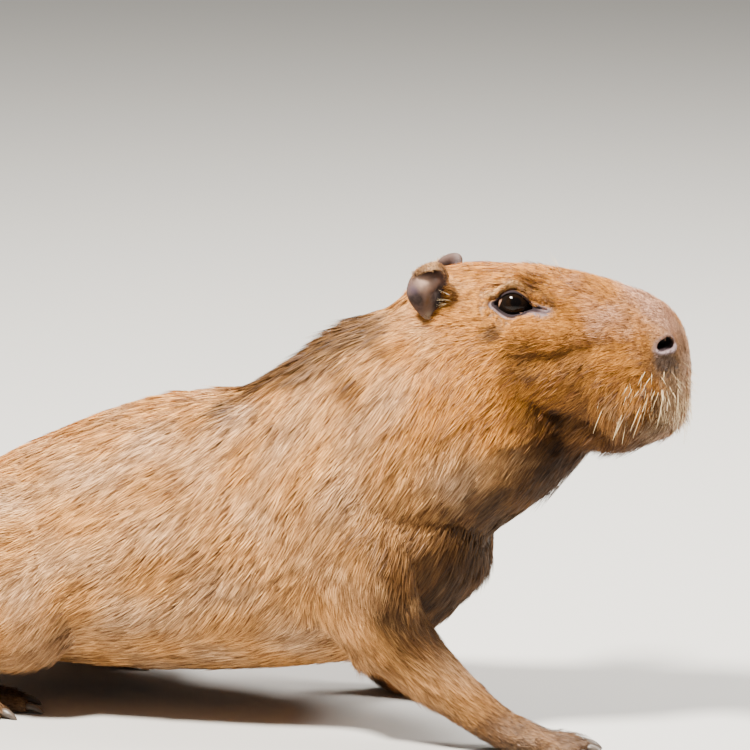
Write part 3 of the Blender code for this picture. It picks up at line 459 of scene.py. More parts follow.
# painted shade in the cleft of the upper lip
paint(0.85 * cleft, UMBER)
lip_front = smooth((hx - 0.215 + ragged) / 0.03) * smooth((0.350 - hz + ragged) / 0.03)
paint(0.22 * lip_front * (1 - under_lip_shade), CREAM)
for word in SIDES:
    ahead, above, out = from_eye(points, word)
    by_eye = (out > 0) & (np.hypot(ahead, above) < 0.06)
    lid_hair = ridge(lid_gap(ahead, above) + 0.0085, 0.0040) * smooth(above / 0.005)
    paint(0.70 * by_eye * lid_hair * short_of(ahead, 0.018, 0.01), (0.800, 0.480, 0.200))
    streak, _ = along_line(np.stack((ahead, above), axis=1), BROW_STREAK)
    paint(0.80 * by_eye * ridge(streak, 0.0048), UMBER)
paint(masks["bare"], LILAC)
# darker locks run down and back over the trunk and neck
LOCK_WAY, LOCK_STRETCH = np.array((0.84, 0, 0.54)), 0.76
narrowed = points - LOCK_STRETCH * (points @ LOCK_WAY)[:, None] * LOCK_WAY
locks = wander(narrowed, 0.030) + 0.6 * wander(narrowed, 0.016)
paint(0.30 * past(locks, 0.15, 0.9) * (1 - 0.45 * head_share), (0.250, 0.104, 0.026))


class Wire:
    """A socket of a shader tree that can be used in sums; node() adds any other node."""

    def __init__(self, tree, out=None):
        self.tree, self.out = tree, out

    def node(self, kind, settings, values, result=0):
        made = self.tree.nodes.new("ShaderNode" + kind)
        for key, value in settings.items():
            if key == "stops":
                while len(made.color_ramp.elements) < len(value):
                    made.color_ramp.elements.new(0.5)
                for stop, (place, colour) in zip(made.color_ramp.elements, value):
                    stop.position, stop.color = place, colour
            else:
                setattr(made, key, value)
        for key, value in values.items():
            if isinstance(value, Wire):
                self.tree.links.new(value.out, made.inputs[key])
            else:
                made.inputs[key].default_value = value
        return Wire(self.tree, made.outputs[result])

    def sum(self, operation, a, b):
        return self.node("Math", {"operation": operation}, {0: a, 1: b})

    def __add__(self, other):
        return self.sum("ADD", self, other)

    def __sub__(self, other):
        return self.sum("SUBTRACT", self, other)

    def __mul__(self, other):
        return self.sum("MULTIPLY", self, other)

    def __rsub__(self, other):
        return self.sum("SUBTRACT", other, self)

    def between(self, low, high):
        """0 below one value and 1 above the other, with a soft step between them."""
        return self.node("MapRange", {"interpolation_type": "SMOOTHSTEP"},
                         {"Value": self, "From Min": low, "From Max": high})

    __radd__, __rmul__ = __add__, __mul__


def finish_for(name, roughness, specular=0.5):
    """A new material: itself, its Principled shader, its wrapped tree and its object coordinates."""
    material = bpy.data.materials.new(name)
    material.use_nodes = True
    shader = material.node_tree.nodes["Principled BSDF"]
    shader.inputs["Roughness"].default_value = roughness
    shader.inputs["Specular IOR Level"].default_value = specular
    wire = Wire(material.node_tree)
    return material, shader, wire, wire.node("TexCoord", {}, {}, "Object")


def mixed(wire, share, a, b, blend="MIX"):
    return wire.node("Mix", {"data_type": "RGBA", "blend_type": blend}, {0: share, 6: a, 7: b}, 2)


def noise(wire, place, scale, detail=2.0):
    return wire.node("TexNoise", {}, {"Vector": place, "Scale": scale, "Detail": detail})


def carried(wire, name, kind="Fac"):
    """An attribute that the mesh carries."""
    return wire.node("Attribute", {"attribute_name": name}, {}, kind)


def feed(wire, source, shader, socket):
    wire.tree.links.new(source.out, shader.inputs[socket])


def raise_up(wire, height, distance, shader):
    """Lets a pattern stand up from the surface by a distance in metres."""
    bump = wire.node("Bump", {}, {"Strength": 0.4, "Distance": distance, "Height": height})
    feed(wire, bump, shader, "Normal")


def carry(mesh, **values):
    """Gives the mesh named numbers, or rows of three numbers, for its points."""
    for name, value in values.items():
        if value.ndim == 2:
            made = mesh.attributes.new(name, "FLOAT_VECTOR", "POINT")
            made.data.foreach_set("vector", value.astype(np.float32).ravel())
        else:
            made = mesh.attributes.new(name, "FLOAT", "POINT")
            made.data.foreach_set("value", value.astype(np.float32))


carry(skin.data, marks=marks, **masks)
SKIN_ROUGHNESS, MARGIN_ROUGHNESS = 0.55, 0.80
skin_look, skin_shader, wire, place = finish_for("skin", SKIN_ROUGHNESS, 0.22)
# the skin under the coat is the coat's colour, darker: partly its own darker hide, partly painted shade
# between the hairs
hide_colour = mixed(wire, 0.62, carried(wire, "marks", "Vector"), (0.10, 0.050, 0.024, 1))
fine = noise(wire, place, 420.0, 3.0)
bare_skin = mixed(wire, noise(wire, place, 90.0, 3.0), (0.100, 0.064, 0.068, 1), (0.310, 0.220, 0.230, 1))
hide_colour = mixed(wire, carried(wire, "bare"), hide_colour, bare_skin)
hide_colour = mixed(wire, fine.between(0.35, 0.7) * 0.3, hide_colour, (0.06, 0.035, 0.022, 1))
hide_colour = mixed(wire, carried(wire, "margin"), hide_colour, (0.016, 0.009, 0.011, 1))
# painted shade, nearly black, in the nostrils and the mouth's groove
hide_colour = mixed(wire, carried(wire, "pit"), hide_colour, (0.006, 0.004, 0.004, 1))
feed(wire, hide_colour, skin_shader, "Base Color")
roughness = SKIN_ROUGHNESS + (MARGIN_ROUGHNESS - SKIN_ROUGHNESS) * carried(wire, "margin")
feed(wire, roughness, skin_shader, "Roughness")
raise_up(wire, fine + noise(wire, place, 1100.0), 0.0006, skin_shader)
skin.data.materials.clear()
skin.data.materials.append(skin_look)

# Eyes: a dark brown ball in a clear cornea, with the white showing only at the rear corner. Each is
# a turned ball seated behind the lids, a little longer along them than it is tall.
PUPIL, IRIS = 0.0052, 0.0104
for word, side in SIDES.items():
    axes = eye_axes(side)
    ball = bmesh.new()
    bmesh.ops.create_uvsphere(ball, u_segments=64, v_segments=40, radius=1.0)
    for vertex in ball.verts:
        ahead, above, out = np.array(vertex.co) * (BALL - 0.0002)
        if out > 0:
            out += 0.0006 * float(smooth(1 - math.hypot(ahead, above) / (IRIS + 0.001)))
        vertex.co = eye_centres[word] + Vector(ahead * axes[0] + above * axes[1] + out * axes[2])
    bmesh.ops.recalc_face_normals(ball, faces=ball.faces)
    mesh = mesh_of("eyeball_" + word, ball)
    mesh.shade_smooth()
    eyeball = add_object("eyeball_" + word, mesh)
    eye_look, eye_shader, wire, place = finish_for("eye_" + word, 0.06, 0.0)
    from_centre = wire.node("VectorMath", {"operation": "SUBTRACT"}, {0: place, 1: eye_centres[word]})
    ahead, above, out = [
        wire.node("VectorMath", {"operation": "DOT_PRODUCT"}, {0: from_centre, 1: Vector(axis)}, "Value")
        for axis in axes]
    off_axis = wire.node("Math", {"operation": "SQRT"}, {0: ahead * ahead + above * above})
    iris = mixed(wire, noise(wire, place, 700.0), (0.003, 0.0015, 0.001, 1), (0.012, 0.006, 0.003, 1))
    colour = mixed(wire, off_axis.between(PUPIL - 0.0006, PUPIL + 0.0008), (0.002, 0.0015, 0.0015, 1), iris)
    colour = mixed(wire, off_axis.between(IRIS - 0.0014, IRIS), colour, (0.006, 0.004, 0.003, 1))
    white = (above * 0.25 - ahead).between(0.0138, 0.0152) * (1 - (above + 0.0015).between(0.0015, 0.0045))
    colour = mixed(wire, white, colour, (0.360, 0.190, 0.120, 1))
    colour = mixed(wire, out.between(-0.002, 0.003), (0.02, 0.012, 0.010, 1), colour)
    feed(wire, colour, eye_shader, "Base Color")
    eye_shader.inputs["Coat Weight"].default_value = 1.0
    eye_shader.inputs["Coat Roughness"].default_value = 0.02
    eye_shader.inputs["Coat IOR"].default_value = 1.26
    mesh.materials.append(eye_look)
    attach(eyeball, "root")
    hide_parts("eye_" + word)

# Ears: small thick cups of bare skin, set high on the head. The top of each is folded over, the rear
# edge is a thick round roll, and the front edge dips into the opening of the ear.
EAR_PLACE, LEFT_EAR_SHIFT = (0.0380, 0.0590, 0.4395), (-0.0085, 0.0, 0.0000)
EAR_HALF = (0.0240, 0.0345)      # half breadth and half height
EAR_WALL = 0.0026
# four sections from the ear's middle out over its rim: share of the half size, and height off the head
EAR_FRONT = ((0.0, 0.002), (0.20, -0.001), (0.38, -0.003), (0.52, -0.0045), (0.62, -0.0050), (0.68, -0.0050),
             (0.70, -0.0050), (0.68, -0.0060))
EAR_TOP = ((0.0, 0.005), (0.22, 0.0095), (0.42, 0.0100), (0.58, 0.0040), (0.70, 0.0005), (0.85, 0.0045),
           (0.92, 0.0120), (0.80, 0.0155))
EAR_REAR = ((0.0, 0.004), (0.30, 0.0085), (0.55, 0.0110), (0.75, 0.0105), (0.90, 0.0080), (1.00, 0.0040),
            (1.01, -0.0010), (0.95, -0.0040))
EAR_BOTTOM = ((0.0, 0.002), (0.25, 0.004), (0.50, 0.003), (0.72, 0.002), (0.88, 0.004), (0.97, 0.006),
              (1.00, 0.0050), (0.97, 0.0030))
SPOKES, RINGS = 96, 36


def ear_sheet():
    """The ear's sheet in its own frame, x ahead, y off the head, z up, with each point's angle and ring."""
    angle, ring = np.meshgrid(np.arange(SPOKES) * 2 * math.pi / SPOKES, np.linspace(0, 1, RINGS)[1:])
    across, up = np.cos(angle), np.sin(angle)
    shares = [np.maximum(part, 0) ** 2 for part in (across, up, -across, -up)]
    reach, height = np.zeros(angle.shape), np.zeros(angle.shape)
    steps = np.linspace(0, 1, 200)
    for share, section in zip(shares, (EAR_FRONT, EAR_TOP, EAR_REAR, EAR_BOTTOM)):
        knots = np.linspace(0, 1, len(section))
        for total, column in ((reach, 0), (height, 1)):
            curve = np.interp(steps, knots, np.array(section)[:, column])
            curve = np.convolve(np.pad(curve, 12, "reflect", reflect_type="odd"), np.ones(25) / 25, "valid")
            total += share * np.interp(ring, steps, curve)
    slim = 1 - 0.38 * np.maximum(-up, 0) ** 1.2
    swung = 0.0055 * np.maximum(-up, 0) ** 2 * reach        # the lower tip is set further ahead
    spots = np.stack((EAR_HALF[0] * reach * across * slim + swung, height, EAR_HALF[1] * reach * up), axis=2)
    mesh = bpy.data.meshes.new("ear_sheet")
    rows = [[1 + r * SPOKES + k for k in range(SPOKES)] for r in range(RINGS - 1)]
    faces = [(0, rows[0][k], rows[0][(k + 1) % SPOKES]) for k in range(SPOKES)]
    for inner, outer in zip(rows, rows[1:]):
        inner_next, outer_next = inner[1:] + inner[:1], outer[1:] + outer[:1]
        faces += list(zip(inner, outer, outer_next, inner_next))
    spots = np.concatenate(([(0, EAR_TOP[0][1] * 0.7, 0)], spots.reshape(-1, 3)))
    mesh.from_pydata(spots.tolist(), [], faces)
    carry(mesh, angle=np.concatenate(([0.0], angle.ravel())), ring=np.concatenate(([0.0], ring.ravel())))
    return mesh


def ear_placing(side):
    """Sets an ear on its side of the head, turned back, tipped and rolled."""
    facing = Matrix.Rotation(math.radians(-26), 4, "Z") @ Matrix.Rotation(math.radians(-8), 4, "Y")
    facing = facing @ Matrix.Rotation(math.radians(-14), 4, "X")
    if side < 0:
        facing = Matrix.Diagonal((1, -1, 1, 1)) @ facing
    centre = on_head(EAR_PLACE[0], EAR_PLACE[1] * side, EAR_PLACE[2])
    if side > 0:
        centre = centre + to_head @ Vector(LEFT_EAR_SHIFT)
    return Matrix.Translation(centre) @ to_head.to_4x4() @ facing


ear_look, ear_shader, wire, place = finish_for("ear", 0.60, 0.15)
mottle = noise(wire, place, 160.0, 3.0).between(0.3, 0.7) * 0.35
ear_colour = mixed(wire, mottle, carried(wire, "marks", "Vector"), (0.12, 0.075, 0.065, 1))
feed(wire, ear_colour, ear_shader, "Base Color")
raise_up(wire, noise(wire, place, 600.0), 0.0005, ear_shader)
ear_beds = {}
for word, side in SIDES.items():
    sheet = ear_sheet()
    if side < 0:
        sheet.flip_normals()
    ear = add_object("ear_skin_" + word, sheet)
    ear_beds[word] = sheet.copy()
    wall = ear.modifiers.new("wall", "SOLIDIFY")
    wall.thickness, wall.offset = EAR_WALL, 0.0
    settled(ear)
    eased(ear.data, 3)
    spots = array_of(ear.data, "points")
    u, v, h = spots[:, 0] / EAR_HALF[0], spots[:, 2] / EAR_HALF[1], spots[:, 1]
    inner = smooth(array_of(ear.data, "normals")[:, 1] / 0.5 + 0.5)
    tones = np.tile((0.120, 0.068, 0.052), (len(spots), 1))

    def tone(share, colour):
        tones[:] += (np.array(colour) - tones) * np.clip(share, 0, 1)[:, None]

    def patch(a, b, size):
        return np.exp(-(((u - a) ** 2 + (v - b) ** 2) / size**2))

    tone(1.2 * patch(-0.42, 0.36, 0.32), (0.480, 0.310, 0.230))
    tone(1.2 * patch(-0.85, 0.16, 0.18), (0.120, 0.080, 0.100))
    tone(1.5 * patch(-0.78, -0.22, 0.40), (0.018, 0.012, 0.012))
    tone(1.0 * patch(-0.25, -0.22, 0.26), (0.085, 0.042, 0.017))
    tone(1.0 * patch(-0.25, -0.76, 0.20), (0.320, 0.230, 0.140))
    # painted shade, nearly black, in the ear's opening
    tone(1.6 * patch(0.30, -0.20, 0.42), (0.010, 0.006, 0.004))
    # the back of the ear dark, and darker towards its base as painted shade
    tone((1 - inner) * (0.5 + 0.5 * short_of(v, 0.85, 0.30)), (0.030, 0.018, 0.017))
    # painted shade in the hollow under the folded top
    tone(0.95 * past(v, 0.52, 0.10) * short_of(h, 0.0110, 0.003) * inner, (0.050, 0.024, 0.014))
    tone(0.9 * past(h, 0.0085, 0.004) * past(v, 0.55, 0.2), (0.640, 0.420, 0.270))
    carry(ear.data, marks=tones)
    ear.data.transform(ear_placing(side))
    if side < 0:
        ear.data.flip_normals()
    ear_check = bmesh.new()
    ear_check.from_mesh(ear.data)
    bmesh.ops.recalc_face_normals(ear_check, faces=ear_check.faces)
    ear_check.to_mesh(ear.data)
    ear_check.free()
    ear.data.shade_smooth()
    ear.data.materials.clear()
    ear.data.materials.append(ear_look)
    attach(ear, "root")
    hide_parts("ear_" + word)

# Claws: blunt dark nails of horn, streaked paler along their length. They are the solids' own nails,
# rounded.
nails = [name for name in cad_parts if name.startswith("claw_")]
horn = bmesh.new()
for name in nails:
    add_copy(horn, bpy.data.objects[name].data)
claws = add_object("nails", mesh_of("nails", horn))
rounding = claws.modifiers.new("rounding", "SUBSURF")
rounding.levels = rounding.render_levels = 2
settled(claws)
nail_points = array_of(claws.data, "points")
nail_points[:, 2] = np.maximum(nail_points[:, 2], 0.0001)
set_points(claws.data, nail_points)
claws.data.shade_smooth()
horn_look, horn_shader, wire, place = finish_for("horn", 0.42)
drawn_out = wire.node("VectorMath", {"operation": "MULTIPLY"}, {0: place, 1: (60, 420, 420)})
streaks = noise(wire, drawn_out, 1.0, 3.0)
horn_colour = mixed(wire, streaks, (0.030, 0.022, 0.018, 1), (0.150, 0.115, 0.090, 1))
feed(wire, horn_colour, horn_shader, "Base Color")
raise_up(wire, streaks, 0.0004, horn_shader)
claws.data.materials.clear()
claws.data.materials.append(horn_look)
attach(claws, "root")
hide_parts(*nails)

# The lie of the coat, and its length, worked out for each point of the skin: back from the nose, down
# over the cheeks and neck, slanting back over the trunk, and down along the legs to the toes.
LEG_LINES = {
    "leg_front_right": ((0.048, -0.074, 0.215), (0.126, -0.099, 0.118), (0.210, -0.097, 0.049),
                        (0.270, -0.093, 0.0165), (0.345, -0.093, 0.009)),
    "leg_front_left": ((0.040, 0.072, 0.215), (0.012, 0.099, 0.114), (0.044, 0.096, 0.048),
                       (0.086, 0.094, 0.016), (0.160, 0.094, 0.009)),
    "leg_hind_right": ((-0.285, -0.096, 0.172), (-0.238, -0.118, 0.110), (-0.318, -0.122, 0.086),
                       (-0.374, -0.117, 0.062), (-0.325, -0.117, 0.019), (-0.245, -0.117, 0.009)),
    "leg_hind_left": ((-0.235, 0.096, 0.172), (-0.188, 0.118, 0.110), (-0.268, 0.122, 0.086),
                      (-0.324, 0.117, 0.062), (-0.275, 0.117, 0.019), (-0.195, 0.117, 0.009)),
}


def ways(x, y, z):
    """Directions from their three parts, each one number or one for every point."""
    return np.stack(np.broadcast_arrays(x, y, z), axis=1)


def laid_flat(ways, normals):
    """The directions laid on the surface and made one unit long."""
    ways = ways - normals * (ways * normals).sum(1)[:, None]
    return ways / (np.linalg.norm(ways, axis=1)[:, None] + 1e-9)


flank = np.sign(hy)
slant = np.radians(10 + 48 * past(body[:, 0], -0.38, 0.44))
spread = 0.30 * np.clip(body[:, 1] / 0.05, -1, 1)
lie = ways(-np.cos(slant), spread, -np.sin(slant))
lowness = short_of(hz, 0.415, 0.07)
face = ways(-1.0, flank * (0.16 + 0.1 * lowness),
            -0.12 - 0.95 * lowness - 0.8 * lowness * short_of(hx, 0.15, 0.10))
hang = ways(-0.40, flank * 0.25, -1.0)
lip = past(hx, 0.170, 0.05) * short_of(hz, 0.372, 0.030)
face += (hang - face) * lip[:, None]
front = past(hx, 0.262, 0.018)
down = ways(0.1, flank * 0.55, -0.8)
face += (down - face) * (front * short_of(hz, 0.40, 0.03))[:, None]
face = face @ np.array(to_head).T
lie += (face - lie) * head_share[:, None]

leg_share = np.zeros(len(points))
for line in LEG_LINES.values():
    line = np.array(line)
    away, place_along = along_line(body, line)
    steps = np.linspace(0, 1, 60)
    runs = np.gradient(spots_on(line, steps), axis=0)
    run = np.stack([np.interp(place_along, steps, evened(runs[:, k])) for k in range(3)], axis=1)
    run /= np.linalg.norm(run, axis=1)[:, None]
    reach = 0.075 - 0.045 * smooth(place_along / 0.55)
    share = smooth((reach * 1.25 - away) / (reach * 0.5)) * past(place_along, 0.05, 0.30)
    lie += (run - lie) * share[:, None]
    leg_share = np.maximum(leg_share, share)
under = past(-normals[:, 2], 0.3, 0.4) * (1 - leg_share) * (1 - head_share)
lie += (np.array((-1, 0, -0.1)) - lie) * (under * 0.7)[:, None]
lie = laid_flat(lie, normals)
sway = np.radians(4) * wander(points, 0.080) + np.radians(2.5) * wander(points, 0.025) * (1 + head_share)
lie = lie * np.cos(sway)[:, None] + np.cross(normals, lie) * np.sin(sway)[:, None]

HAIR_LENGTH, NAPE_EXTRA, SHORTEST = 0.027, 0.014, 0.0028
hair = HAIR_LENGTH + NAPE_EXTRA * nape
to_face = 0.0150 - 0.0060 * past(hx, 0.10, 0.10) - 0.0025 * past(hx, 0.22, 0.05)
to_face += 0.012 * short_of(hx, 0.05, 0.06) + 0.004 * short_of(hz, 0.36, 0.04) * short_of(hx, 0.20, 0.05)
to_face += 0.005 * lowness * short_of(hx, 0.26, 0.02)
to_face += 0.009 * lip * short_of(hz, 0.360, 0.03) * (1 - 0.6 * front)
to_face -= 0.0020 * past(hx, 0.19, 0.05) * past(hz, 0.385, 0.02)
hair += (np.maximum(to_face, SHORTEST) - hair) * head_share
hair += (0.017 - 0.011 * short_of(body[:, 2], 0.085, 0.07) - hair) * leg_share
for word in SIDES:
    ahead, above, out = from_eye(points, word)
    by_eye = (np.hypot(ahead, above) < 0.05) & (out > -0.004)
    hair *= np.where(by_eye, 0.20 + 0.80 * smooth((-lid_gap(ahead, above) - 0.004) / 0.022), 1)
ear_fringe = near_place((0.060, 0.054, 0.434), 0.020)
hair *= 1 - 0.50 * ear_fringe
hair *= 1 + 0.10 * wander(points, 0.03)
# hair is short wherever it would reach the floor
hair = np.minimum(hair, np.maximum(points[:, 2] / np.maximum(-lie[:, 2], 0.05), 0.002))
stand = np.radians(3.0 + 1.5 * wander(points, 0.02)) + math.radians(7) * nape + math.radians(5) * head_share
stand = np.maximum(stand, math.radians(1.2)) + math.radians(8) * ear_fringe
thick = 1 - np.clip(masks["margin"] * 1.6 + masks["pit"] * 1.6 + masks["bare"] * 0.9, 0, 1)
thick *= 1 - past(-normals[:, 2], 0.75, 0.1) * short_of(points[:, 2], 0.006, 0.003)
thick *= 1 - 0.10 * past(hx, 0.20, 0.04) * past(hz, 0.385, 0.02)
thick *= 1 - ear_hole_shade
thick *= past(from_nostril, 0.0078, 0.003)
hair *= 0.45 + 0.55 * past(from_nostril, 0.006, 0.012)


def rolled_out(mesh):
    """The skin's unwrap, by corner: trunk and head rolled out round the spine, each leg round its bones."""
    centres = numbers(mesh.polygons, "center", 3).astype(float) - SHIFT
    corners = numbers(mesh.loops, "vertex_index", kind=np.int32)
    totals = numbers(mesh.polygons, "loop_total", kind=np.int32)
    of_face = np.repeat(np.arange(len(mesh.polygons)), totals)
    spots = array_of(mesh, "points")[corners] - SHIFT
    spine = ((-0.45, 0, 0.14), (-0.20, 0, 0.17), (0.02, 0, 0.20), (0.12, 0.005, 0.30), (0.20, 0.012, 0.38),
             (0.40, 0.04, 0.36))
    lines = [np.array(line) for line in (spine, *LEG_LINES.values())]
    blocks = [(0.02, 0.02, 0.56, 0.96)] + [(0.62, 0.02 + 0.245 * k, 0.34, 0.22) for k in range(4)]
    shares = np.stack([along_line(centres, line)[0] * (1.6 if k else 1.0) for k, line in enumerate(lines)])
    chart = shares.argmin(0)[of_face]
    uv = np.zeros((len(corners), 2))
    for k, (line, (left, low, wide, tall)) in enumerate(zip(lines, blocks)):
        turns = []
        for places in (centres, spots):
            _, along = along_line(places, line)
            off = places - spots_on(line, along)
            turns.append(np.arctan2(off[:, 1], off[:, 0] if k else off[:, 2]) / (2 * math.pi))
        turn = turns[1] - turns[0][of_face]
        turn = np.clip(turns[0][of_face] + turn - np.round(turn), -0.5, 0.5)
        uv[chart == k] = np.stack((left + wide * (0.5 + turn), low + tall * along), axis=1)[chart == k]
    return uv


bed = skin.data.copy()
bed.materials.clear()
bed.uv_layers.new(name="OFBake").data.foreach_set("uv", rolled_out(skin.data).astype(np.float32).ravel())
carry(bed, lie=lie, hair=hair, stand=stand, thick=thick)

# the skin's mesh is thinned where it is plain, and keeps its grain round the eyes and nostrils
plain = skin.vertex_groups.new(name="plain")
keep = (from_nostril < 0.013) | (masks["margin"] + masks["bare"] > 0.05)
for word in SIDES:
    keep |= near_eye(points, word, 0.027)
plain.add(np.nonzero(~keep)[0].tolist(), 1.0, "REPLACE")
thinning = skin.modifiers.new("thinning", "DECIMATE")
thinning.vertex_group = "plain"
thinning.ratio = 0.295
settled(skin)
skin.vertex_groups.clear()
skin.data.shade_smooth()
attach(skin, "root")
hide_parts(*FLESH)

# The coat: coarse hair in tufts of flat tapering blades, rooted in the skin and lying back along
# the body, short on the face and feet. A node tree sets the tufts; the skin carries their lie.


def blade_tuft(name, seed, blades, bent, wide, spread, clumps):
    """A tuft one unit long along +y: flat tapering blades side by side, in clumps that draw together."""
    rng = random.Random(seed)
    tuft = bmesh.new()
    patch = tuft.loops.layers.uv.new("blade")
    tone = tuft.verts.layers.float.new("tone")
    in_clump = blades // clumps
    for k in range(blades):
        if k % in_clump == 0:
            middle_left = ((k + in_clump / 2) / blades - 0.5) * spread + rng.uniform(-0.04, 0.04)
            clump_start, clump_shade = rng.uniform(-0.5, 0.5) * (not bent), rng.random()
        left = middle_left + rng.uniform(-0.5, 0.5) * spread / clumps
        tip = middle_left + (left - middle_left) * 0.5 + rng.uniform(-0.03, 0.03)
        long, high, broad = rng.uniform(0.70, 1.0), rng.uniform(0.0, 0.030), wide * rng.uniform(0.7, 1.25)
        start = clump_start + rng.uniform(-0.12, 0.05)
        sideways = Vector((1, 0, rng.uniform(-0.45, 0.45))).normalized() * broad / 2
        if bent:
            rows = ((0.0, 0.8, -0.030), (0.45, 1.0, 0.030 + high), (1.0, 0.0, 0.012 + high))
        else:
            rows = ((0.0, 1.0, -0.010), (1.0, 0.0, 0.020 + high * 3))
        shade = 0.55 * clump_shade + 0.45 * rng.random()
        corners = []
        for share, taper, lift in rows:
            middle = Vector((left + (tip - left) * share**1.5, start + long * share, lift))
            for way in ((-1, 1) if taper else (0,)):
                corners.append(tuft.verts.new(middle + sideways * way * taper))
                corners[-1][tone] = shade
        shapes = ((0, 1, 3), (0, 3, 2), (2, 3, 4)) if bent else ((0, 1, 2),)
        for shape in shapes:
            blade = tuft.faces.new([corners[n] for n in shape])
            for loop in blade.loops:
                up_blade = (loop.vert.co.y - start) / long
                loop[patch].uv = (0.5 + loop.vert.co.x * 0.8, min(1.0, max(0.0, up_blade)))
    return add_object(name, mesh_of(name, tuft))


def coat_tree(kinds, material):
    """Tufts scattered over a skin, turned along its lie, sized by its hair, each with its own bake patch."""
    tree = bpy.data.node_groups.new("coat", "GeometryNodeTree")
    tree.interface.new_socket("Skin", in_out="INPUT", socket_type="NodeSocketGeometry")
    for name in ("Tufts a square metre", "Breadth", "Widening", "Sway", "Roll"):
        tree.interface.new_socket(name, in_out="INPUT", socket_type="NodeSocketFloat")
    tree.interface.new_socket("Scatter", in_out="INPUT", socket_type="NodeSocketInt")
    tree.interface.new_socket("Coat", in_out="OUTPUT", socket_type="NodeSocketGeometry")
    given = tree.nodes.new("NodeGroupInput").outputs

    def node(kind, settings, values, result=0):
        made = tree.nodes.new(kind)
        for key, value in settings.items():
            setattr(made, key, value)
        for key, value in values.items():
            if isinstance(value, bpy.types.NodeSocket):
                tree.links.new(value, made.inputs[key])
            else:
                made.inputs[key].default_value = value
        return made.outputs[result]

    def named(name, kind="FLOAT"):
        return node("GeometryNodeInputNamedAttribute", {"data_type": kind}, {"Name": name}, "Attribute")

    def store(geometry, name, value, kind="FLOAT", domain="POINT"):
        return node("GeometryNodeStoreNamedAttribute", {"data_type": kind, "domain": domain},
                    {"Geometry": geometry, "Name": name, "Value": value})

    def drawn(low, high, seed):
        return node("FunctionNodeRandomValue", {"data_type": "FLOAT"}, {2: low, 3: high, "Seed": seed}, 1)

    def sums(operation, a, b, kind="ShaderNodeMath"):
        return node(kind, {"operation": operation}, {0: a, 1: b})

    density = sums("MULTIPLY", given["Tufts a square metre"], named("grown"))
    scattered = tree.nodes.new("GeometryNodeDistributePointsOnFaces")
    for value, key in ((given["Skin"], "Mesh"), (density, "Density"), (given["Scatter"], "Seed")):
        tree.links.new(value, scattered.inputs[key])
    roots = store(scattered.outputs["Points"], "root", named("OFBake", "FLOAT_VECTOR"), "FLOAT_VECTOR")
    roots = store(roots, "shade", drawn(0.0, 1.0, 3))
    along = node("FunctionNodeAlignRotationToVector", {"axis": "Y"},
                 {"Vector": named("lie", "FLOAT_VECTOR")})
    upright = node("FunctionNodeAlignRotationToVector", {"axis": "Z", "pivot_axis": "Y"},
                   {"Rotation": along, "Vector": scattered.outputs["Normal"]})
    pitch = sums("ADD", named("stand"), drawn(math.radians(-1.0), math.radians(3.0), 5))
    tilt = node("ShaderNodeCombineXYZ", {}, {
        "X": pitch, "Y": sums("MULTIPLY", given["Roll"], drawn(-1.0, 1.0, 6)),
        "Z": sums("MULTIPLY", given["Sway"], drawn(-1.0, 1.0, 7))})
    turned = node("FunctionNodeRotateRotation", {"rotation_space": "LOCAL"},
                  {"Rotation": upright, "Rotate By": node("FunctionNodeEulerToRotation", {}, {0: tilt})})
    long = sums("MULTIPLY", named("hair"), drawn(0.78, 1.22, 8))
    wide = sums("ADD", sums("MULTIPLY", long, given["Widening"]), given["Breadth"])
    kinds_in = tree.nodes.new("GeometryNodeGeometryToInstance")
    for obj in kinds:
        tree.links.new(node("GeometryNodeObjectInfo", {}, {"Object": obj}, "Geometry"), kinds_in.inputs[0])
    placed = node("GeometryNodeInstanceOnPoints", {},
                  {"Points": roots, "Instance": kinds_in.outputs[0], "Pick Instance": True,
                   "Instance Index": node("FunctionNodeRandomValue", {"data_type": "INT"},
                                          {4: 0, 5: len(kinds) - 1, "Seed": 9}, 2),
                   "Rotation": turned,
                   "Scale": node("ShaderNodeCombineXYZ", {}, {"X": wide, "Y": long, "Z": long})})
    solid = node("GeometryNodeRealizeInstances", {}, {"Geometry": placed})
    patch = sums("MULTIPLY", named("blade", "FLOAT_VECTOR"), (0.003, 0.003, 0), "ShaderNodeVectorMath")
    patch = sums("ADD", patch, (-0.0015, -0.0015, 0), "ShaderNodeVectorMath")
    patch = sums("ADD", patch, named("root", "FLOAT_VECTOR"), "ShaderNodeVectorMath")
    baked = store(solid, "OFBake", patch, "FLOAT2", "CORNER")
    dressed = node("GeometryNodeSetMaterial", {}, {"Geometry": baked, "Material": material})
    tree.links.new(dressed, tree.nodes.new("NodeGroupOutput").inputs[0])
    return tree


def grow(name, mesh, growing, tufts, tree, scatter, **sizes):
    """Grows tufts over a skin's mesh where growing says, and makes them one piece."""
    totals = numbers(mesh.polygons, "loop_total", kind=np.int32)
    corners = numbers(mesh.loops, "vertex_index", kind=np.int32)
    corner_area = np.repeat(numbers(mesh.polygons, "area") / totals, totals)
    area = np.bincount(corners, corner_area, len(mesh.vertices))
    grown_from = mesh.copy()
    carry(grown_from, grown=growing)
    coat = add_object(name, grown_from)
    growth = coat.modifiers.new("growth", "NODES")
    growth.node_group = tree
    share = 1.0
    values = {"Tufts a square metre": tufts * share / float((growing * area).sum()),
              "Scatter": scatter, **sizes}
    for item in tree.interface.items_tree:
        if item.in_out == "INPUT" and item.name in values:
            growth[item.identifier] = values[item.name]
    settled(coat)
    spots = array_of(coat.data, "points")
    spots[:, 2] = np.maximum(spots[:, 2], 0.0003)
    set_points(coat.data, spots)
    for spare in ("root", "lie", "hair", "stand", "thick", "grown"):
        if spare in coat.data.attributes:
            coat.data.attributes.remove(coat.data.attributes[spare])
    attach(coat, "root")


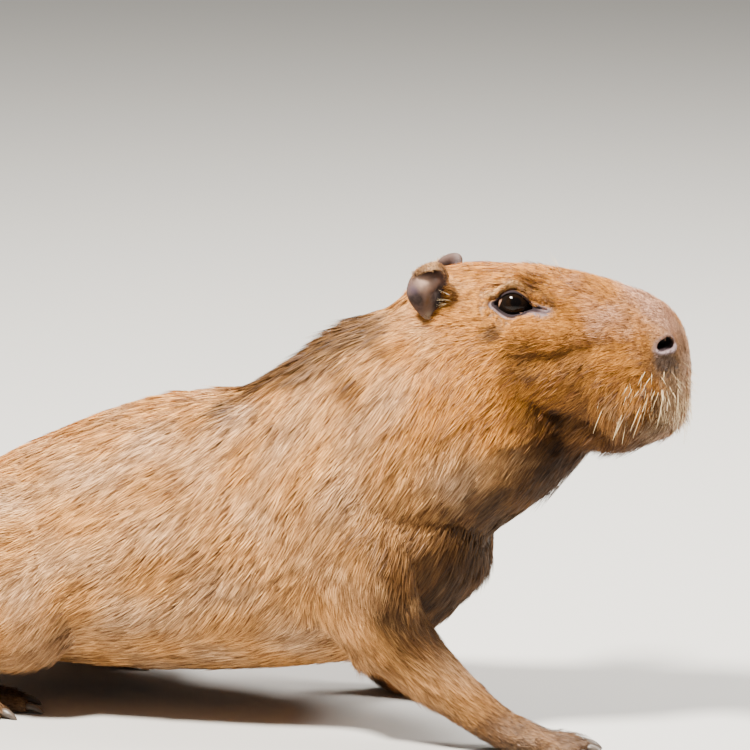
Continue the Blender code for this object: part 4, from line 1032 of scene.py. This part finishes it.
hair_look, hair_shader, wire, place = finish_for("hair", 0.50, 0.16)
colour = carried(wire, "marks", "Vector")
shade, tone = carried(wire, "shade"), carried(wire, "tone")
blade = wire.node("SeparateXYZ", {}, {"Vector": wire.node("UVMap", {"uv_map": "blade"}, {})}, 1)
# dark blades, pale blades, dark tufts, and the dark root of every blade as painted shade among the hairs
for share, tint in (((1 - tone.between(0.25, 0.52)) * 0.85, (0.24, 0.17, 0.12, 1)),
                    (tone.between(0.55, 0.80) * 0.80, (1.45, 1.52, 1.60, 1)),
                    ((1 - shade.between(0.0, 0.5)) * 0.72, (0.38, 0.30, 0.25, 1)),
                    ((1 - blade.between(0.0, 0.5)) * 0.60, (0.26, 0.20, 0.16, 1))):
    colour = mixed(wire, share, colour, mixed(wire, 1.0, colour, tint, "MULTIPLY"))
feed(wire, colour, hair_shader, "Base Color")

long_tufts = [blade_tuft("long_tuft_%d" % k, 20 + k, 5, True, 0.036, 0.42, 1) for k in range(8)]
short_tufts = [blade_tuft("short_tuft_%d" % k, 40 + k, 12, False, 0.034, 1.0, 4) for k in range(8)]
long_tree, short_tree = coat_tree(long_tufts, hair_look), coat_tree(short_tufts, hair_look)
FACE_REAR = 0.125                                          # from the occiput
NECK_REAR, SHOULDER_REAR, FLANK_REAR = 0.075, -0.085, -0.235   # from the withers
LONG_TUFTS, SHORT_TUFTS = 12900, 15500                     # in one piece
on_face = head_share * (hx > FACE_REAR)
on_head_back = (head_share > 0.5) * (hx <= FACE_REAR)
on_legs = (leg_share >= 0.5) * (head_share <= 0.5)
on_trunk = (head_share <= 0.5) * (leg_share < 0.5)
body_x = body[:, 0]
grow("coat_face", bed, thick * on_face, SHORT_TUFTS, short_tree, 1, Breadth=0.0090, Widening=0.85,
     Sway=0.12, Roll=0.25)
for scatter, (name, growing) in enumerate((
        ("coat_cheeks", on_head_back), ("coat_neck", on_trunk * (body_x > NECK_REAR)),
        ("coat_shoulders", on_trunk * (body_x <= NECK_REAR) * (body_x > SHOULDER_REAR)),
        ("coat_flanks", on_trunk * (body_x <= SHOULDER_REAR) * (body_x > FLANK_REAR)),
        ("coat_rump", on_trunk * (body_x <= FLANK_REAR))), 2):
    grow(name, bed, thick * growing, LONG_TUFTS, long_tree, scatter, Breadth=0.0085, Widening=0.42,
         Sway=0.05, Roll=0.18)
grow("coat_legs", bed, thick * on_legs, SHORT_TUFTS, short_tree, 8, Breadth=0.0085, Widening=0.30,
     Sway=0.14, Roll=0.3)

# Ear fur: short tan hair over the folded rims of the ears, paler at their lower tips.
for scatter, (word, side) in enumerate(SIDES.items(), 20):
    sheet = ear_beds[word]
    angle, ring = [numbers(sheet.attributes[name].data, "value") for name in ("angle", "ring")]
    local = array_of(sheet, "points")
    outwards = local * (1, 0, 1) / (np.linalg.norm(local * (1, 0, 1), axis=1)[:, None] + 1e-6)
    outwards[:, 1] = 0.25
    placing = np.array(ear_placing(side).to_3x3())
    sheet.transform(ear_placing(side))
    # the left ear's sheet is turned over here; the right ear's was when it was made
    if side > 0:
        sheet.flip_normals()
    away = array_of(sheet, "normals")
    set_points(sheet, array_of(sheet, "points") + away * EAR_WALL * 0.35)
    tips = laid_flat(outwards @ placing.T, away)
    corners = numbers(sheet.loops, "vertex_index", kind=np.int32)
    across, up = 0.5 + 0.45 * ring * np.cos(angle), 0.5 + 0.45 * ring * np.sin(angle)
    uv = np.stack((0.60 + 0.38 * across, up), axis=1)
    sheet.uv_layers.new(name="OFBake").data.foreach_set("uv", uv[corners].astype(np.float32).ravel())
    rim = past(ring, 0.66, 0.12)
    low = smooth((-np.sin(angle) - 0.5) / 0.3)
    pale = np.array((0.660, 0.390, 0.190)) + low[:, None] * np.array((0.14, 0.20, 0.22))
    carry(sheet, lie=tips, hair=0.0040 + 0.006 * low, stand=0.22 + 0.2 * low, marks=pale)
    grow("coat_ear_" + word, sheet, rim, 900, short_tree, scatter, Breadth=0.0060, Widening=0.25,
         Sway=0.3, Roll=0.4)

# Whiskers and bristles: long pale hairs that hang from the upper lip, stiff short ones on the front of
# the muzzle, a few fine feelers over the nose and brow, and the hairs in the ear's opening.
whisker_look, whisker_shader, wire, place = finish_for("whiskers", 0.35)
root_to_tip = wire.node("SeparateXYZ", {}, {"Vector": wire.node("UVMap", {"uv_map": "blade"}, {})}, 1)
feed(wire, mixed(wire, root_to_tip.between(0.0, 0.35), (0.55, 0.29, 0.10, 1), (0.92, 0.68, 0.38, 1)),
     whisker_shader, "Base Color")


WHISKER_STEPS = 6


def whisker(name, seed, bend):
    """One tapering hair one unit long along +y that bows by bend, as a flat ribbon."""
    rng = random.Random(seed)
    mesh = bmesh.new()
    patch = mesh.loops.layers.uv.new("blade")
    mesh.verts.layers.float.new("tone")
    rows = []
    for k in range(WHISKER_STEPS + 1):
        share = k / WHISKER_STEPS
        middle = Vector((rng.uniform(-0.02, 0.02) * share, share, bend * (share - share**2 * 1.6)))
        taper = 1.0 - 0.85 * share
        rows.append([mesh.verts.new(middle + Vector((taper * way / 2, 0, 0))) for way in (-1, 1)])
    for k, (a, b) in enumerate(zip(rows, rows[1:])):
        ribbon = mesh.faces.new((a[0], a[1], b[1], b[0]))
        for loop, share in zip(ribbon.loops, (k, k, k + 1, k + 1)):
            loop[patch].uv = (0.5, share / WHISKER_STEPS)
    return add_object(name, mesh_of(name, mesh))


def whisker_bed(lie, length, stand):
    """The skin again, with one kind of whisker's lie, length and stand."""
    other = bed.copy()
    for name in ("lie", "hair", "stand"):
        other.attributes.remove(other.attributes[name])
    each = np.ones(len(points))
    carry(other, lie=lie, hair=length * each, stand=stand * each)
    return other


whisker_kinds = [whisker("whisker_%d" % k, 60 + k, 0.03 + 0.045 * k) for k in range(4)]
whisker_tree = coat_tree(whisker_kinds, whisker_look)
drop = ways(-0.30 + 0.5 * past(hx, 0.245, 0.03), flank * 0.30, -1.0)
drop = laid_flat(drop @ np.array(to_head).T, normals)
beard = past(hx, 0.205, 0.012) * past(hz, 0.322, 0.02) * short_of(hz, 0.362, 0.012)
beard_length = 0.022 + 0.016 * past(hx, 0.225, 0.03) + 0.008 * wander(points, 0.01)
grow("whiskers_lip", whisker_bed(drop, beard_length, math.radians(8)), beard * thick, 76, whisker_tree, 31,
     Breadth=0.00100, Sway=0.16, Roll=0.6)
bristles = past(hx, 0.222, 0.045) * past(hz, 0.300, 0.02) * short_of(hz, 0.385, 0.03)
bristles *= past(from_nostril, 0.014, 0.006) * (1 - under_nostril)
bristle_bed = whisker_bed(drop, 0.0125, math.radians(24) + math.radians(30) * front)
grow("whiskers_nose", bristle_bed, bristles * thick, 360, whisker_tree, 32,
     Breadth=0.00060, Sway=0.40, Roll=0.5)
feelers = near_place((0.155, 0.020, 0.463), 0.014) + 0.25 * near_place((0.268, 0.022, 0.432), 0.012)
grow("whiskers_brow", whisker_bed(lie, 0.021, math.radians(62)), feelers, 22, whisker_tree, 33,
     Breadth=0.00042, Sway=0.5, Roll=0.5)
ear_hairs = near_place((0.0540, 0.0550, 0.4320), 0.012)
grow("whiskers_ears", whisker_bed(lie, 0.013, math.radians(28)), ear_hairs, 20, whisker_tree, 34,
     Breadth=0.00060, Sway=0.45, Roll=0.5)
for obj in long_tufts + short_tufts + whisker_kinds:
    bpy.data.objects.remove(obj)

# The place it is shown in: a plain pale floor under even light, with a soft key lamp at the upper left,
# a weaker one behind the animal, and one ahead of its nose. Powers are in watts.
floor_grid = bmesh.new()
bmesh.ops.create_grid(floor_grid, x_segments=1, y_segments=1, size=6)
floor = add_object("floor", mesh_of("floor", floor_grid))
floor.location.z = -0.0005
floor_look, floor_shader = finish_for("pale_floor", 0.85)[:2]
floor_shader.inputs["Base Color"].default_value = (0.50, 0.49, 0.47, 1)
floor.data.materials.append(floor_look)

world = bpy.data.worlds.new("studio")
bpy.context.scene.world = world
world.use_nodes = True
world.node_tree.nodes["Background"].inputs["Color"].default_value = (0.88, 0.88, 0.88, 1)
world.node_tree.nodes["Background"].inputs["Strength"].default_value = 0.16


def soft_light(name, place, aim, size, power, colour):
    lamp = bpy.data.lights.new(name, "AREA")
    lamp.shape = "DISK"
    lamp.size = size
    lamp.energy = power
    lamp.color = colour
    lit = bpy.data.objects.new(name, lamp)
    bpy.context.scene.collection.objects.link(lit)
    lit.location = place
    lit.rotation_euler = (Vector(place) - Vector(aim)).to_track_quat("Z", "Y").to_euler()


soft_light("key", (-0.7, -1.25, 3.15), (0.05, 0, 0.25), 0.6, 560, (1.0, 0.95, 0.86))
soft_light("rim", (-0.2, 2.0, 2.6), (0.1, 0, 0.3), 1.2, 150, (1.0, 0.97, 0.92))
soft_light("front", (1.9, 0.8, 1.9), (0.35, 0, 0.35), 1.0, 110, (1.0, 0.97, 0.92))

# The camera stands to the right of the animal and a little before it, as far off as a long lens asks
AZIMUTH, ELEVATION, DISTANCE = math.radians(20), math.radians(12), 8.0
FRAMED = 0.75                # metres across the picture at the animal
aim = Vector((0.0996, 0.0257, 0.3412))
way = Vector((math.sin(AZIMUTH) * math.cos(ELEVATION), -math.cos(AZIMUTH) * math.cos(ELEVATION),
              math.sin(ELEVATION)))
camera = bpy.data.objects.new("camera", bpy.data.cameras.new("camera"))
bpy.context.scene.collection.objects.link(camera)
camera.data.sensor_width = 36
camera.data.lens = 36 * DISTANCE / FRAMED
camera.location = aim + way * DISTANCE
camera.rotation_euler = way.to_track_quat("Z", "Y").to_euler()
bpy.context.scene.camera = camera
